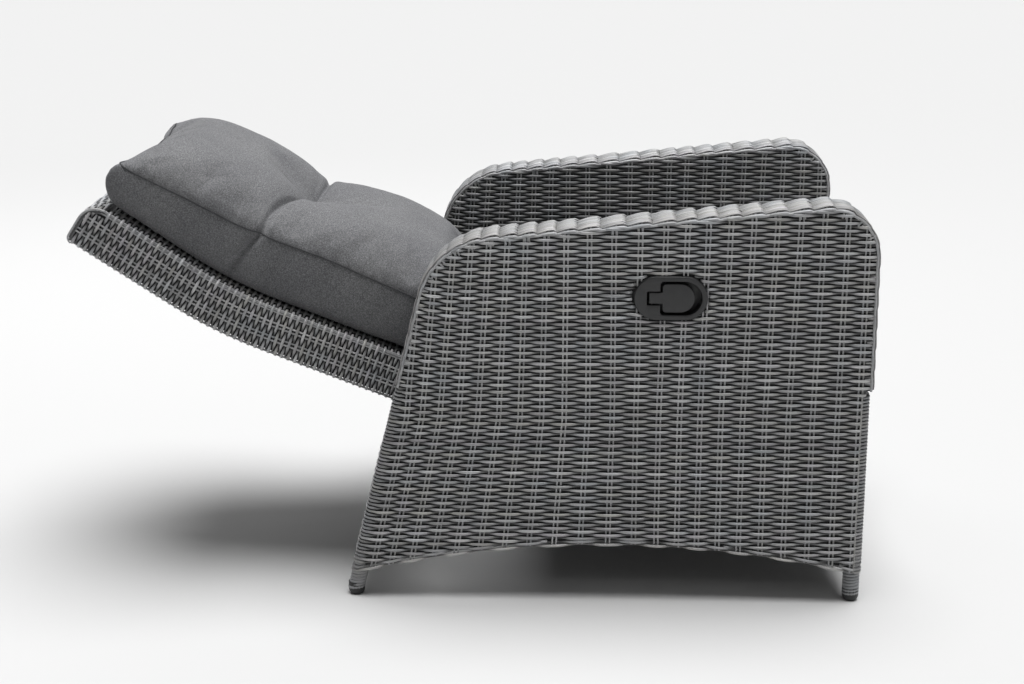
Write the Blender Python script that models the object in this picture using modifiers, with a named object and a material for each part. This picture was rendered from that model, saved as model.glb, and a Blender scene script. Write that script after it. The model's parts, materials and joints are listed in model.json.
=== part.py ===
# Reclining woven-resin armchair, shown with its back fully reclined.
#
# Frame: +Z up, the floor is z = 0, the seat faces -Y, X is the width.
# The origin is the middle of the footprint box, on the floor.
# Right means the sitter's right hand, which is -X.

import math

import bmesh
import bpy
from mathutils import Matrix, Vector

# ------------------------------------------------------------ driving sizes
WIDTH_HALF = 0.3495          # outer face of each arm
ARM_INNER = 0.2675           # inner face of each arm
SKIN = 0.0030                # thickness of the woven skin
SHIFT_Y = -0.1775            # design profile to the part's own origin

FRONT_Y = -0.4840            # front strip of the arms
SKIRT_Y = -0.4800            # front edge below the seat
REAR_Y0, REAR_TILT = 0.3835, 0.249   # rear edge: y = REAR_Y0 - REAR_TILT * z
TOP_Z0, TOP_Y0, TOP_RISE = 0.6285, 0.1244, 0.0956   # top edge: rises to the front
REAR_CORNER_R, FRONT_CORNER_R = 0.130, 0.080
STRIP_Z = 0.3785             # the arm box starts here; below it is a single skirt
INNER_Z = 0.3635
ARCH_Z, ARCH_Y, ARCH_K = 0.1080, -0.0700, 0.288     # bottom arch of the arm
ROUND = 0.010

TUBE_R = 0.0120
LEG_X = 0.3305
FRONT_LEG_Y = -0.4655
REAR_LEG_Y0 = 0.3672         # leg axis: y = REAR_LEG_Y0 - REAR_TILT * z
LEG_Z0 = 0.0380
DROP = 0.0115                # the profile's datum lies this far below the soles
FOOT_R, FOOT_H, FOOT_FLAT = 0.0138, 0.0220, 0.0080

SEAT_TUBE_Z = 0.3500
SEAT_RAIL_X = 0.2760
DECK_BOTTOM, DECK_TOP = 0.3630, 0.3710
DECK_REAR_Y = 0.142
MID_TUBE_Y, REAR_TUBE_Y = -0.100, 0.125

PIVOT = (0.210, 0.332)       # recline axis, in the side view
BACK_HALF = 0.2525
BACK_T = 0.0395              # half thickness of the back
BACK_TILT0, BACK_TILT1 = 21.0, 33.2
BACK_S1, BACK_R, BACK_END = 0.320, 0.759, 0.680
RECLINE = 54.0               # from reclined to upright, degrees

LEVER_R, LEVER_A = 0.075, -117.0
SPRING_Z = 0.2610
SPRING_Y0 = -0.100

HANDLE_Y, HANDLE_Z = -0.1548, 0.531
HANDLE_HINGE_U = -0.0305     # hinge axis, rearward of the handle's middle
HANDLE_HINGE_X = -0.3425
GAP = 0.0004

# ---------------------------------------------------------------- the scene
for ob in list(bpy.data.objects):
    bpy.data.objects.remove(ob, do_unlink=True)

part_coll = bpy.data.collections.new("reclining_armchair")
cut_coll = bpy.data.collections.new("cutters")
bpy.context.scene.collection.children.link(part_coll)
bpy.context.scene.collection.children.link(cut_coll)


def material(name, color, rough, metal=0.0):
    m = bpy.data.materials.get(name)
    if m is None:
        m = bpy.data.materials.new(name)
        m.use_nodes = True
        b = m.node_tree.nodes["Principled BSDF"]
        b.inputs["Base Color"].default_value = (*color, 1)
        b.inputs["Roughness"].default_value = rough
        b.inputs["Metallic"].default_value = metal
        m.diffuse_color = (*color, 1)
    return m


RESIN = material("woven_resin", (0.16, 0.16, 0.165), 0.5)
FABRIC = material("heathered_fabric", (0.12, 0.12, 0.125), 0.95)
BLACK = material("black_plastic", (0.02, 0.02, 0.021), 0.4)
PAINTED = material("painted_steel", (0.05, 0.05, 0.052), 0.45, 0.6)
STEEL = material("zinc_steel", (0.55, 0.56, 0.57), 0.35, 1.0)
CHROME = material("chromed_steel", (0.75, 0.75, 0.76), 0.12, 1.0)
SHEATH = material("cable_sheath", (0.025, 0.025, 0.025), 0.55)

SIDES = (("right", -1), ("left", 1))


def finish(ob, mat, smooth=True):
    ob.data.materials.clear()
    ob.data.materials.append(mat)
    if smooth and ob.type == "MESH":
        ob.data.shade_smooth()
        ob.data.set_sharp_from_angle(angle=math.radians(40))
    return ob


def mesh_object(name, bm, mat, coll=part_coll, smooth=True):
    me = bpy.data.meshes.new(name)
    bm.normal_update()
    bm.to_mesh(me)
    bm.free()
    ob = bpy.data.objects.new(name, me)
    coll.objects.link(ob)
    return finish(ob, mat, smooth)


def hide_cutter(ob):
    ob.hide_render = True
    ob.display_type = "WIRE"
    return ob


def cut(ob, cutter, op="DIFFERENCE"):
    m = ob.modifiers.new("cut", "BOOLEAN")
    m.operation = op
    m.solver = "EXACT"
    m.object = cutter
    return ob


def sy(y):
    """A y of the design profile in the part's own frame."""
    return y + SHIFT_Y


def at(x, y, z):
    return Vector((x, sy(y), z))


# ------------------------------------------------------------ basic shapes
def box(name, lo, hi, mat, bevel=0.0, coll=part_coll):
    lo, hi = Vector(lo), Vector(hi)
    bm = bmesh.new()
    bmesh.ops.create_cube(bm, size=1.0)
    size = hi - lo
    bmesh.ops.scale(bm, vec=size, verts=bm.verts)
    ob = mesh_object(name, bm, mat, coll, smooth=bevel > 0)
    ob.location = (lo + hi) / 2
    if bevel:
        b = ob.modifiers.new("round", "BEVEL")
        b.width = bevel
        b.segments = 2
        b.limit_method = "ANGLE"
    return ob


def rod(name, p0, p1, r, mat, sides=20, coll=part_coll):
    """A round bar between two points."""
    p0, p1 = Vector(p0), Vector(p1)
    d = p1 - p0
    bm = bmesh.new()
    bmesh.ops.create_cone(bm, cap_ends=True, segments=sides, radius1=r, radius2=r, depth=d.length)
    ob = mesh_object(name, bm, mat, coll)
    ob.rotation_euler = d.to_track_quat("Z", "Y").to_euler()
    ob.location = (p0 + p1) / 2
    return ob


def tube(name, pts, r, mat, sides=12):
    """A bent tube: a curve with a round bevel and filled caps."""
    cu = bpy.data.curves.new(name, "CURVE")
    cu.dimensions = "3D"
    cu.bevel_depth = r
    cu.bevel_resolution = sides // 4 - 1
    cu.use_fill_caps = True
    cu.resolution_u = 1
    sp = cu.splines.new("POLY")
    sp.points.add(len(pts) - 1)
    for q, p in zip(sp.points, pts):
        q.co = (*p, 1)
    ob = bpy.data.objects.new(name, cu)
    part_coll.objects.link(ob)
    cu.materials.append(mat)
    return ob


# local X, Y, Z of a flat outline laid in the side view and in the front view
SIDE = Matrix(((0, 0, 1, 0), (1, 0, 0, 0), (0, 1, 0, 0), (0, 0, 0, 1)))
FRONT = Matrix(((1, 0, 0, 0), (0, 0, -1, 0), (0, 1, 0, 0), (0, 0, 0, 1)))


def flat(name, outline, thick, matrix, mat, coll=part_coll, bevel=0.0):
    """A plate from a filled 2D outline, `thick` deep about its own plane."""
    cu = bpy.data.curves.new(name, "CURVE")
    cu.dimensions = "2D"
    cu.fill_mode = "BOTH"
    cu.extrude = thick / 2
    cu.resolution_u = 1
    sp = cu.splines.new("POLY")
    sp.points.add(len(outline) - 1)
    for q, p in zip(sp.points, outline):
        q.co = (p[0], p[1], 0, 1)
    sp.use_cyclic_u = True
    tmp = bpy.data.objects.new(name + "_outline", cu)
    coll.objects.link(tmp)
    tmp.matrix_world = matrix
    bpy.context.view_layer.update()
    deps = bpy.context.evaluated_depsgraph_get()
    me = bpy.data.meshes.new_from_object(tmp.evaluated_get(deps))
    bm = bmesh.new()
    bm.from_mesh(me)
    bmesh.ops.remove_doubles(bm, verts=bm.verts, dist=1e-6)
    bmesh.ops.recalc_face_normals(bm, faces=bm.faces)
    bm.to_mesh(me)
    bm.free()
    me.name = name
    ob = bpy.data.objects.new(name, me)
    coll.objects.link(ob)
    ob.matrix_world = tmp.matrix_world
    bpy.data.objects.remove(tmp, do_unlink=True)
    finish(ob, mat)
    if bevel:
        b = ob.modifiers.new("round", "BEVEL")
        b.width = bevel
        b.segments = 2
        b.limit_method = "ANGLE"
        b.angle_limit = math.radians(50)
    return ob


def side_plate(name, outline, x0, x1, mat, coll=part_coll, bevel=0.0):
    m = Matrix.Translation(((x0 + x1) / 2, 0, 0)) @ SIDE
    return flat(name, outline, abs(x1 - x0), m, mat, coll, bevel)


# ---------------------------------------------------------- 2D constructions
def fillet(points, radii, n=8):
    """An open polyline with its inner corners rounded."""
    out = [points[0]]
    for i in range(1, len(points) - 1):
        a, b, c = (Vector(points[k]) for k in (i - 1, i, i + 1))
        r = radii[i - 1]
        u, v = (a - b).normalized(), (c - b).normalized()
        half = math.acos(max(-1, min(1, u.dot(v)))) / 2
        t = r / math.tan(half)
        p0 = b + u * t
        centre = b + (u + v).normalized() * (r / math.sin(half))
        a0 = p0 - centre
        sweep = math.pi - 2 * half
        turn = -1 if (u.x * v.y - u.y * v.x) > 0 else 1
        for k in range(n + 1):
            ang = turn * sweep * k / n
            ca, sa = math.cos(ang), math.sin(ang)
            out.append((centre.x + a0.x * ca - a0.y * sa, centre.y + a0.x * sa + a0.y * ca))
    out.append(points[-1])
    return [tuple(p) for p in out]


def stadium(cu, cw, length, height, n=10):
    """A slot outline around (cu, cw)."""
    r = height / 2
    h = length / 2 - r
    out = []
    for k in range(n + 1):
        a = -math.pi / 2 + math.pi * k / n
        out.append((cu + h + r * math.cos(a), cw + r * math.sin(a)))
    for k in range(n + 1):
        a = math.pi / 2 + math.pi * k / n
        out.append((cu - h + r * math.cos(a), cw + r * math.sin(a)))
    return out


def top_z(y, drop=0.0):
    return TOP_Z0 + (TOP_Y0 - y) * TOP_RISE - drop


def corner_rear(y0, drop):
    """Where the rear edge line y = y0 - tilt*z meets the top line."""
    z = (TOP_Z0 - drop + (TOP_Y0 - y0) * TOP_RISE) / (1 - TOP_RISE * REAR_TILT)
    return (y0 - REAR_TILT * z, z)


def arch_z(y):
    return ARCH_Z - ARCH_K * (y - ARCH_Y) ** 2


# ------------------------------------------------------------ the arm skins
def arm_skin(name, side):
    """Hollow woven arm: full outer face, strip over the top, inner face."""
    strip = fillet(
        [(FRONT_Y, STRIP_Z), (FRONT_Y, top_z(FRONT_Y)), corner_rear(REAR_Y0, 0.0),
         (REAR_Y0 - REAR_TILT * STRIP_Z, STRIP_Z)],
        [FRONT_CORNER_R, REAR_CORNER_R], n=9)
    z_rear = 0.0625
    y_rear = REAR_Y0 - REAR_TILT * z_rear
    arch = []
    for k in range(1, 12):
        y = y_rear - 0.012 + (SKIRT_Y + 0.004 - y_rear + 0.012) * k / 12
        arch.append((y, arch_z(y)))
    low = [(y_rear, z_rear)] + arch + [(SKIRT_Y, arch_z(SKIRT_Y)), (SKIRT_Y, STRIP_Z - 0.0005)]
    xo, xi = side * WIDTH_HALF, side * ARM_INNER
    bm = bmesh.new()
    vo = [bm.verts.new(at(xo, *p)) for p in strip]
    vl = [bm.verts.new(at(xo, *p)) for p in low]
    vi = [bm.verts.new(at(xi, *p)) for p in strip]
    rear_low = (REAR_Y0 - REAR_TILT * INNER_Z, INNER_Z)
    ve = [bm.verts.new(at(xi, *p)) for p in (rear_low, (-0.4740, INNER_Z), (-0.4740, STRIP_Z - 0.0005))]
    bm.faces.new(vo + vl)
    strips = [bm.faces.new((vo[k + 1], vo[k], vi[k], vi[k + 1])) for k in range(len(strip) - 1)]
    bm.faces.new((vi + ve)[::-1])
    if side > 0:
        bmesh.ops.reverse_faces(bm, faces=bm.faces)
    bm.normal_update()
    # the long edges of the box, not the short ones down by the skirt
    edges = [e for e in bm.edges if len(e.link_faces) == 2
             and len(e.link_faces[0].verts) + len(e.link_faces[1].verts) > 12]
    bmesh.ops.bevel(bm, geom=edges, offset=ROUND, segments=3, profile=0.5, affect="EDGES",
                    offset_type="OFFSET", clamp_overlap=True)
    ob = mesh_object(name, bm, RESIN)
    s = ob.modifiers.new("skin", "SOLIDIFY")
    s.thickness = SKIN
    s.offset = -1
    s.use_even_offset = True
    return ob


handle_outline = [(sy(HANDLE_Y) + u, HANDLE_Z + w) for u, w in stadium(0, 0, 0.1178, 0.0722)]
for label, side in SIDES:
    skin = arm_skin(label + "_arm_skin", side)
    if side < 0:
        hole = [(sy(HANDLE_Y) + u, HANDLE_Z + w) for u, w in stadium(0, 0, 0.1188, 0.0732)]
        c = hide_cutter(side_plate("handle_hole", hole, -0.36, -0.335, RESIN, cut_coll))
        cut(skin, c)

# ------------------------------------------------------------ the tube frame
TOP_DROP = 0.0167
hoop = fillet(
    [(FRONT_LEG_Y, LEG_Z0), (FRONT_LEG_Y, top_z(FRONT_LEG_Y, TOP_DROP)),
     corner_rear(REAR_LEG_Y0, TOP_DROP), (REAR_LEG_Y0 - REAR_TILT * LEG_Z0, LEG_Z0)],
    [0.065, 0.115], n=9)
# the hoop is welded from a front leg, a top tube and a rear leg
front_joint = (FRONT_LEG_Y, hoop[1][1] - 0.008)
rear_joint = (REAR_LEG_Y0 - REAR_TILT * (hoop[-2][1] - 0.008), hoop[-2][1] - 0.008)
front_part = [hoop[0], front_joint]
top_part = [front_joint] + hoop[1:-1] + [rear_joint]
rear_part = [rear_joint, hoop[-1]]


def shorten(path, start, end):
    """Moves the two ends of a path inwards along it."""
    p = [Vector(q) for q in path]
    p[0] = p[0] + (p[1] - p[0]).normalized() * start
    p[-1] = p[-1] + (p[-2] - p[-1]).normalized() * end
    return [tuple(q) for q in p]


inner_hoop = fillet(
    [(-0.4630, 0.3632), (-0.4630, top_z(-0.4630, 0.0157)), corner_rear(0.3640, 0.0157),
     (0.3640 - REAR_TILT * 0.3632, 0.3632)],
    [0.062, 0.112], n=9)
inner_hoop[-1] = (inner_hoop[-1][0] + 0.0006, inner_hoop[-1][1] + 0.0030)

for label, side in SIDES:
    x = side * LEG_X
    for part, path in (("_front_leg_tube", shorten(front_part, 0, GAP)),
                       ("_arm_top_tube", top_part),
                       ("_rear_leg_tube", shorten(rear_part, GAP, 0))):
        tube(label + part, [at(x, *p) for p in path], TUBE_R, PAINTED)
    tube(label + "_arm_inner_hoop", [at(side * 0.2815, *p) for p in inner_hoop], 0.0100, PAINTED)
    rear_leg_y = REAR_LEG_Y0 - REAR_TILT * SEAT_TUBE_Z
    tube(label + "_side_rail",
         [at(x, FRONT_LEG_Y + TUBE_R + GAP, SEAT_TUBE_Z), at(x, rear_leg_y - TUBE_R / math.cos(math.atan(REAR_TILT)) - 0.0034, SEAT_TUBE_Z)],
         TUBE_R, PAINTED)
    tube(label + "_seat_rail",
         [at(side * SEAT_RAIL_X, FRONT_LEG_Y + TUBE_R + GAP, SEAT_TUBE_Z), at(side * SEAT_RAIL_X, 0.288, SEAT_TUBE_Z)],
         TUBE_R, PAINTED)

x_leg = LEG_X - TUBE_R - GAP
x_rail = SEAT_RAIL_X - TUBE_R - GAP
tube("front_cross_tube", [at(-x_leg, FRONT_LEG_Y, SEAT_TUBE_Z), at(x_leg, FRONT_LEG_Y, SEAT_TUBE_Z)], TUBE_R, PAINTED)
tube("middle_cross_tube", [at(-x_rail, MID_TUBE_Y, SEAT_TUBE_Z), at(x_rail, MID_TUBE_Y, SEAT_TUBE_Z)], TUBE_R, PAINTED)
tube("rear_cross_tube", [at(-x_rail, REAR_TUBE_Y, SEAT_TUBE_Z), at(x_rail, REAR_TUBE_Y, SEAT_TUBE_Z)], TUBE_R, PAINTED)
low_z = 0.235
tube("low_rear_tube", [at(-x_leg, REAR_LEG_Y0 - REAR_TILT * low_z, low_z), at(x_leg, REAR_LEG_Y0 - REAR_TILT * low_z, low_z)],
     TUBE_R, PAINTED)

# ------------------------------------------------------------- foot caps
def foot_cap(name, x, y):
    """A turned plastic cap with a round shoulder and a flat underside."""
    prof = [(FOOT_R, FOOT_H)]
    n = 6
    rr = FOOT_R - FOOT_FLAT
    for k in range(n + 1):
        a = math.pi / 2 * k / n
        prof.append((FOOT_FLAT + rr * math.cos(a), 0.011 - 0.011 * math.sin(a)))
    me = bpy.data.meshes.new(name)
    bm = bmesh.new()
    vs = [bm.verts.new((0, 0, FOOT_H))] + [bm.verts.new((r, 0, z)) for r, z in prof] + [bm.verts.new((0, 0, 0))]
    for a, b in zip(vs, vs[1:]):
        bm.edges.new((a, b))
    bm.to_mesh(me)
    bm.free()
    ob = bpy.data.objects.new(name, me)
    part_coll.objects.link(ob)
    s = ob.modifiers.new("turn", "SCREW")
    s.steps = s.render_steps = 24
    s.use_merge_vertices = True
    s.merge_threshold = 1e-5
    s.use_smooth_shade = True
    ob.data.materials.append(BLACK)
    ob.location = at(x, y, DROP)
    return ob


for label, side in SIDES:
    foot_cap(label + "_front_foot_cap", side * LEG_X, FRONT_LEG_Y)
    foot_cap(label + "_rear_foot_cap", side * LEG_X, REAR_LEG_Y0 - REAR_TILT * (0.014 + DROP))

# --------------------------------------------------- aprons and seat deck
def apron_outline(half, z_top, z_leg, z_mid, n=14):
    out = [(half, z_top), (-half, z_top), (-half, z_leg)]
    for k in range(1, n):
        x = -half + 2 * half * k / n
        out.append((x, z_leg + (z_mid - z_leg) * (1 - (x / half) ** 2)))
    return out + [(half, z_leg)]


APRON_HALF = WIDTH_HALF - SKIN - GAP
m = Matrix.Translation((0, sy(SKIRT_Y) + 0.00115, 0)) @ FRONT
flat("front_apron", apron_outline(APRON_HALF, STRIP_Z - 0.0020, 0.067, 0.108), 0.0023, m, RESIN)

tilt = math.atan(REAR_TILT)
# the rear apron lies in the plane of the rear legs' backs, low enough for the back to recline
off = (TUBE_R + 0.0004 + 0.0011) / math.cos(tilt)
m = Matrix.Translation((0, sy(REAR_LEG_Y0) + off, 0)) @ Matrix.Rotation(tilt, 4, "X") @ FRONT
flat("rear_apron", apron_outline(APRON_HALF, 0.272 / math.cos(tilt), 0.068, 0.105), 0.0022, m, RESIN)

box("seat_deck", at(-0.2625, FRONT_LEG_Y - 0.0100, DECK_BOTTOM), at(0.2625, DECK_REAR_Y, DECK_TOP), RESIN)

# ------------------------------------------------------------ the back
def back_point(s, t, x=0.0):
    """s along the back from the recline axis, t towards the sitter."""
    a0, a1 = math.radians(BACK_TILT0), math.radians(BACK_TILT1)
    d0, n0 = Vector((math.cos(a0), math.sin(a0))), Vector((-math.sin(a0), math.cos(a0)))
    p = Vector(PIVOT)
    if s <= BACK_S1:
        q = p + d0 * s + n0 * t
    else:
        c = p + d0 * BACK_S1 + n0 * BACK_R
        a = a0 + (s - BACK_S1) / BACK_R
        extra = 0.0
        if a > a1:
            extra = (a - a1) * BACK_R
            a = a1
        n = Vector((-math.sin(a), math.cos(a)))
        q = c - n * (BACK_R - t) + Vector((math.cos(a), math.sin(a))) * extra
    return at(x, q.x, q.y)


recline = bpy.data.objects.new("recline_axis", None)
recline.location = at(0, *PIVOT)
part_coll.objects.link(recline)


def hang(ob, parent):
    """Parents a placed object to an axis without moving it."""
    bpy.context.view_layer.update()
    w = ob.matrix_world.copy()
    ob.parent = parent
    ob.matrix_parent_inverse = parent.matrix_world.inverted()
    ob.matrix_world = w
    return ob


def back_skin():
    """Hollow woven back, open at its lower end."""
    n = 16
    s_list = [-0.030, 0.0] + [BACK_S1 * k / 4 for k in range(1, 5)]
    s_list += [BACK_S1 + (BACK_END - BACK_S1) * k / n for k in range(1, n - 1)]
    prof = [back_point(max(s, -0.010), -BACK_T) for s in s_list]
    for k in range(5):
        a = math.pi / 2 * k / 4
        prof.append(back_point(BACK_END - 0.012 + 0.012 * math.sin(a), -BACK_T + 0.012 - 0.012 * math.cos(a)))
    for k in range(7):
        a = math.pi / 2 * k / 6
        prof.append(back_point(BACK_END - 0.030 + 0.030 * math.cos(a), BACK_T - 0.030 + 0.030 * math.sin(a)))
    prof += [back_point(s, BACK_T) for s in reversed(s_list)]
    clean = [prof[0]]
    for p in prof[1:]:
        if (p - clean[-1]).length > 0.004:
            clean.append(p)
    bm = bmesh.new()
    rings = []
    for x in (-BACK_HALF, BACK_HALF):
        rings.append([bm.verts.new((x, p.y, p.z)) for p in clean])
    lo, hi = rings
    bm.faces.new(lo)
    bm.faces.new(hi[::-1])
    for k in range(len(clean) - 1):
        bm.faces.new((lo[k + 1], lo[k], hi[k], hi[k + 1]))
    bm.normal_update()
    # the outer side is the one a point far behind the rear face sees
    probe = [f for f in bm.faces if len(f.verts) == 4][1]
    if probe.normal.dot(Vector((0, math.sin(math.radians(BACK_TILT0)), -math.cos(math.radians(BACK_TILT0))))) < 0:
        bmesh.ops.reverse_faces(bm, faces=bm.faces)
        bm.normal_update()
    edges = [e for e in bm.edges if len(e.link_faces) == 2
             and len(e.link_faces[0].verts) + len(e.link_faces[1].verts) > 12]
    bmesh.ops.bevel(bm, geom=edges, offset=0.008, segments=3, profile=0.5, affect="EDGES",
                    offset_type="OFFSET", clamp_overlap=True)
    ob = mesh_object("back_skin", bm, RESIN)
    s = ob.modifiers.new("skin", "SOLIDIFY")
    s.thickness = SKIN
    s.offset = -1
    s.use_even_offset = True
    return ob


skin = back_skin()
for label, side in SIDES:
    c = hide_cutter(rod(label + "_pin_hole", at(side * 0.243, *PIVOT), at(side * 0.262, *PIVOT), 0.0085, STEEL, 24, cut_coll))
    hang(c, recline)
    cut(skin, c)
hang(skin, recline)

# lower tube of the back, which turns on the two hinge pins
LOWER_HALF = 0.2465
bm = bmesh.new()
bmesh.ops.create_cone(bm, cap_ends=True, segments=24, radius1=TUBE_R, radius2=TUBE_R, depth=2 * LOWER_HALF)
lower = mesh_object("back_lower_tube", bm, PAINTED)
lower.rotation_euler = (0, math.pi / 2, 0)
lower.location = at(0, *PIVOT)
for label, side in SIDES:
    c = hide_cutter(rod(label + "_pin_bore", at(side * 0.222, *PIVOT), at(side * 0.255, *PIVOT), 0.0055, STEEL, 20, cut_coll))
    hang(c, recline)
    cut(lower, c)
hang(lower, recline)

for label, side in SIDES:
    s0 = TUBE_R + 0.0006
    pts = [back_point(s0 + (BACK_END - 0.034 - s0) * k / 16, 0, side * 0.2330) for k in range(17)]
    hang(tube("back_" + label + "_side_tube", pts, 0.0110, PAINTED), recline)
hang(tube("back_top_tube", [back_point(BACK_END - 0.0220, 0, -0.2400), back_point(BACK_END - 0.0220, 0, 0.2400)], 0.0110, PAINTED), recline)
hang(tube("back_middle_tube", [back_point(0.330, 0, -0.2215), back_point(0.330, 0, 0.2215)], 0.0100, PAINTED), recline)


# lever plates that carry the spring's load to the back
def lever_outline():
    a = math.radians(LEVER_A)
    px, pz = sy(PIVOT[0]), PIVOT[1]
    lx, lz = px + LEVER_R * math.cos(a), pz + LEVER_R * math.sin(a)
    r0, r1 = 0.0120, 0.0095
    n = 10
    out = []
    # around the far end, then beside the tube's underside
    for k in range(n + 1):
        b = a - math.pi / 2 + math.pi * k / n
        out.append((lx + r1 * math.cos(b), lz + r1 * math.sin(b)))
    start = TUBE_R + GAP
    ux, uz = math.cos(a), math.sin(a)
    vx, vz = -uz, ux
    for k in range(7):
        w = 0.0090 - 0.018 * k / 6
        d = math.sqrt(start ** 2 - w ** 2) if abs(w) < start else 0
        out.append((px + ux * d + vx * w, pz + uz * d + vz * w))
    return out


LEVER_XZ = (PIVOT[0] + LEVER_R * math.cos(math.radians(LEVER_A)), PIVOT[1] + LEVER_R * math.sin(math.radians(LEVER_A)))
lever_bore = hide_cutter(rod("lever_bore", at(-0.02, *LEVER_XZ), at(0.02, *LEVER_XZ), 0.0043, STEEL, 20, cut_coll))
hang(lever_bore, recline)
for label, side in SIDES:
    p = side_plate("back_" + label + "_lever_plate", lever_outline(), side * 0.0065, side * 0.0115, PAINTED)
    cut(p, lever_bore)
    hang(p, recline)
hang(rod("lever_pin", at(-0.0150, *LEVER_XZ), at(0.0150, *LEVER_XZ), 0.0039, STEEL, 20), recline)

# hinge brackets on the seat rails, with their pins and bolts
for label, side in SIDES:
    py, pz = sy(PIVOT[0]), PIVOT[1]
    out = [(py - 0.030, 0.3640), (py - 0.030, 0.3360)]
    for k in range(9):
        a = math.pi + math.pi * k / 8
        out.append((py + 0.016 * math.cos(a), pz + 0.016 * math.sin(a)))
    out += [(py + 0.030, 0.3360), (py + 0.030, 0.3640)]
    br = side_plate(label + "_hinge_bracket", out, side * 0.2570, side * 0.2632, STEEL)
    bore = hide_cutter(rod(label + "_bracket_bore", at(side * 0.25, *PIVOT), at(side * 0.27, *PIVOT), 0.0054, STEEL, 20, cut_coll))
    cut(br, bore)
    pin = rod(label + "_hinge_pin", at(side * 0.2250, *PIVOT), at(side * 0.2690, *PIVOT), 0.0050, STEEL, 20)
    for k, dy in enumerate((-0.023, 0.023)):
        y, z = PIVOT[0] + dy, 0.3520
        name = label + "_hinge_bolt_" + ("front", "rear")[k]
        b = rod(name, at(side * 0.2565, y, z), at(side * 0.2535, y, z), 0.0050, STEEL, 6)

# ------------------------------------------------------ the gas spring
# bracket welded under the middle cross tube, open below for the release head
by = sy(SPRING_Y0)
br_out = [(by - 0.016, 0.3370), (by - 0.016, 0.2470), (by + 0.016, 0.2470), (by + 0.016, 0.3370)]
bracket = side_plate("gas_spring_bracket", br_out, -0.0170, 0.0170, STEEL)
slot = hide_cutter(box("bracket_slot", (-0.0135, by - 0.03, 0.2400), (0.0135, by + 0.03, 0.3320), STEEL, coll=cut_coll))
cut(bracket, slot)
bore = hide_cutter(rod("spring_pin_bore", (-0.03, by, SPRING_Z), (0.03, by, SPRING_Z), 0.0045, STEEL, 20, cut_coll))
cut(bracket, bore)
rod("gas_spring_pin", (-0.0200, by, SPRING_Z), (0.0200, by, SPRING_Z), 0.0040, STEEL, 20)
head = box("gas_spring_release_head", (-0.0125, by - 0.0130, 0.2480), (0.0125, by + 0.0240, 0.2830), BLACK, 0.0020)
cut(head, bore)
rod("gas_spring_rod", (0, by + 0.0244, SPRING_Z), (0, by + 0.1500, SPRING_Z), 0.0040, CHROME, 16)

slide = bpy.data.objects.new("spring_slide", None)
slide.location = (0, by + 0.0550, SPRING_Z)
part_coll.objects.link(slide)
cyl_y0, cyl_y1 = by + 0.0550, by + 0.2420
cyl = rod("gas_spring_cylinder", (0, cyl_y0, SPRING_Z), (0, cyl_y1, SPRING_Z), 0.0110, PAINTED, 24)
bore = hide_cutter(rod("cylinder_bore", (0, cyl_y0 - 0.01, SPRING_Z), (0, cyl_y0 + 0.1150, SPRING_Z), 0.0046, STEEL, 20, cut_coll))
hang(bore, slide)
cut(cyl, bore)
hang(cyl, slide)
# tongue at the cylinder's far end, with an upright slot for the lever pin
ty = sy(LEVER_XZ[0])
t_out = [(cyl_y1 + GAP, SPRING_Z - 0.0100), (ty - 0.004, SPRING_Z - 0.0160), (ty + 0.0095, SPRING_Z - 0.0160),
         (ty + 0.0095, SPRING_Z + 0.0160), (ty - 0.004, SPRING_Z + 0.0160), (cyl_y1 + GAP, SPRING_Z + 0.0100)]
tongue = side_plate("gas_spring_tongue", t_out, -0.0040, 0.0040, STEEL)
s_out = [(ty + w, SPRING_Z + u) for u, w in stadium(0, 0, 0.0220, 0.0108)]
slot = hide_cutter(side_plate("tongue_slot", s_out, -0.01, 0.01, STEEL, cut_coll))
hang(slot, slide)
cut(tongue, slot)
hang(tongue, slide)

# release lever on the spring head
rel = bpy.data.objects.new("release_axis", None)
REL_Y, REL_Z = by + 0.0060, 0.2960
rel.location = (0, REL_Y, REL_Z)
part_coll.objects.link(rel)
r_out = [(REL_Y - 0.030, REL_Z + 0.010), (REL_Y - 0.030, REL_Z + 0.004), (REL_Y - 0.006, REL_Z - 0.0075),
         (REL_Y + 0.006, REL_Z - 0.0075), (REL_Y + 0.0100, REL_Z), (REL_Y + 0.006, REL_Z + 0.0075), (REL_Y - 0.006, REL_Z + 0.0075)]
hang(side_plate("release_lever", r_out, -0.0040, 0.0040, STEEL), rel)

# ------------------------------------------------------------- the handle
hy, hz = sy(HANDLE_Y), HANDLE_Z
# the design side view has +u to the front, which is -Y
flange = side_plate("handle_bezel", [(hy + u, hz + w) for u, w in stadium(0, 0, 0.1178, 0.0722, 12)], -WIDTH_HALF, -0.3450, BLACK)
cup = side_plate("bezel_cup", [(hy + u, hz + w) for u, w in stadium(0, 0, 0.1040, 0.0640, 12)], -0.3460, -0.3180, BLACK, cut_coll)
hide_cutter(cup)
cut(flange, cup, "UNION")


def keyhole(grow, tab_end, tab_half, left, right, half, r=0.006):
    """Tab to the rear, wide body with a round front end. u is to the front."""
    pts = []

    def arc(cu, cw, rad, a0, a1, n):
        for k in range(n + 1):
            a = math.radians(a0 + (a1 - a0) * k / n)
            pts.append((cu + rad * math.cos(a), cw + rad * math.sin(a)))
    pts.append((tab_end - grow, -tab_half - grow))
    pts.append((left - grow, -tab_half - grow))
    arc(left - grow + r, -half - grow + r, r, 180, 270, 4)
    rr = half + grow
    arc(right + grow - rr, 0, rr, -90, 90, 16)
    arc(left - grow + r, half + grow - r, r, 90, 180, 4)
    pts.append((left - grow, tab_half + grow))
    pts.append((tab_end - grow, tab_half + grow))
    return [(hy - u, hz + w) for u, w in pts][::-1]


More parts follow.
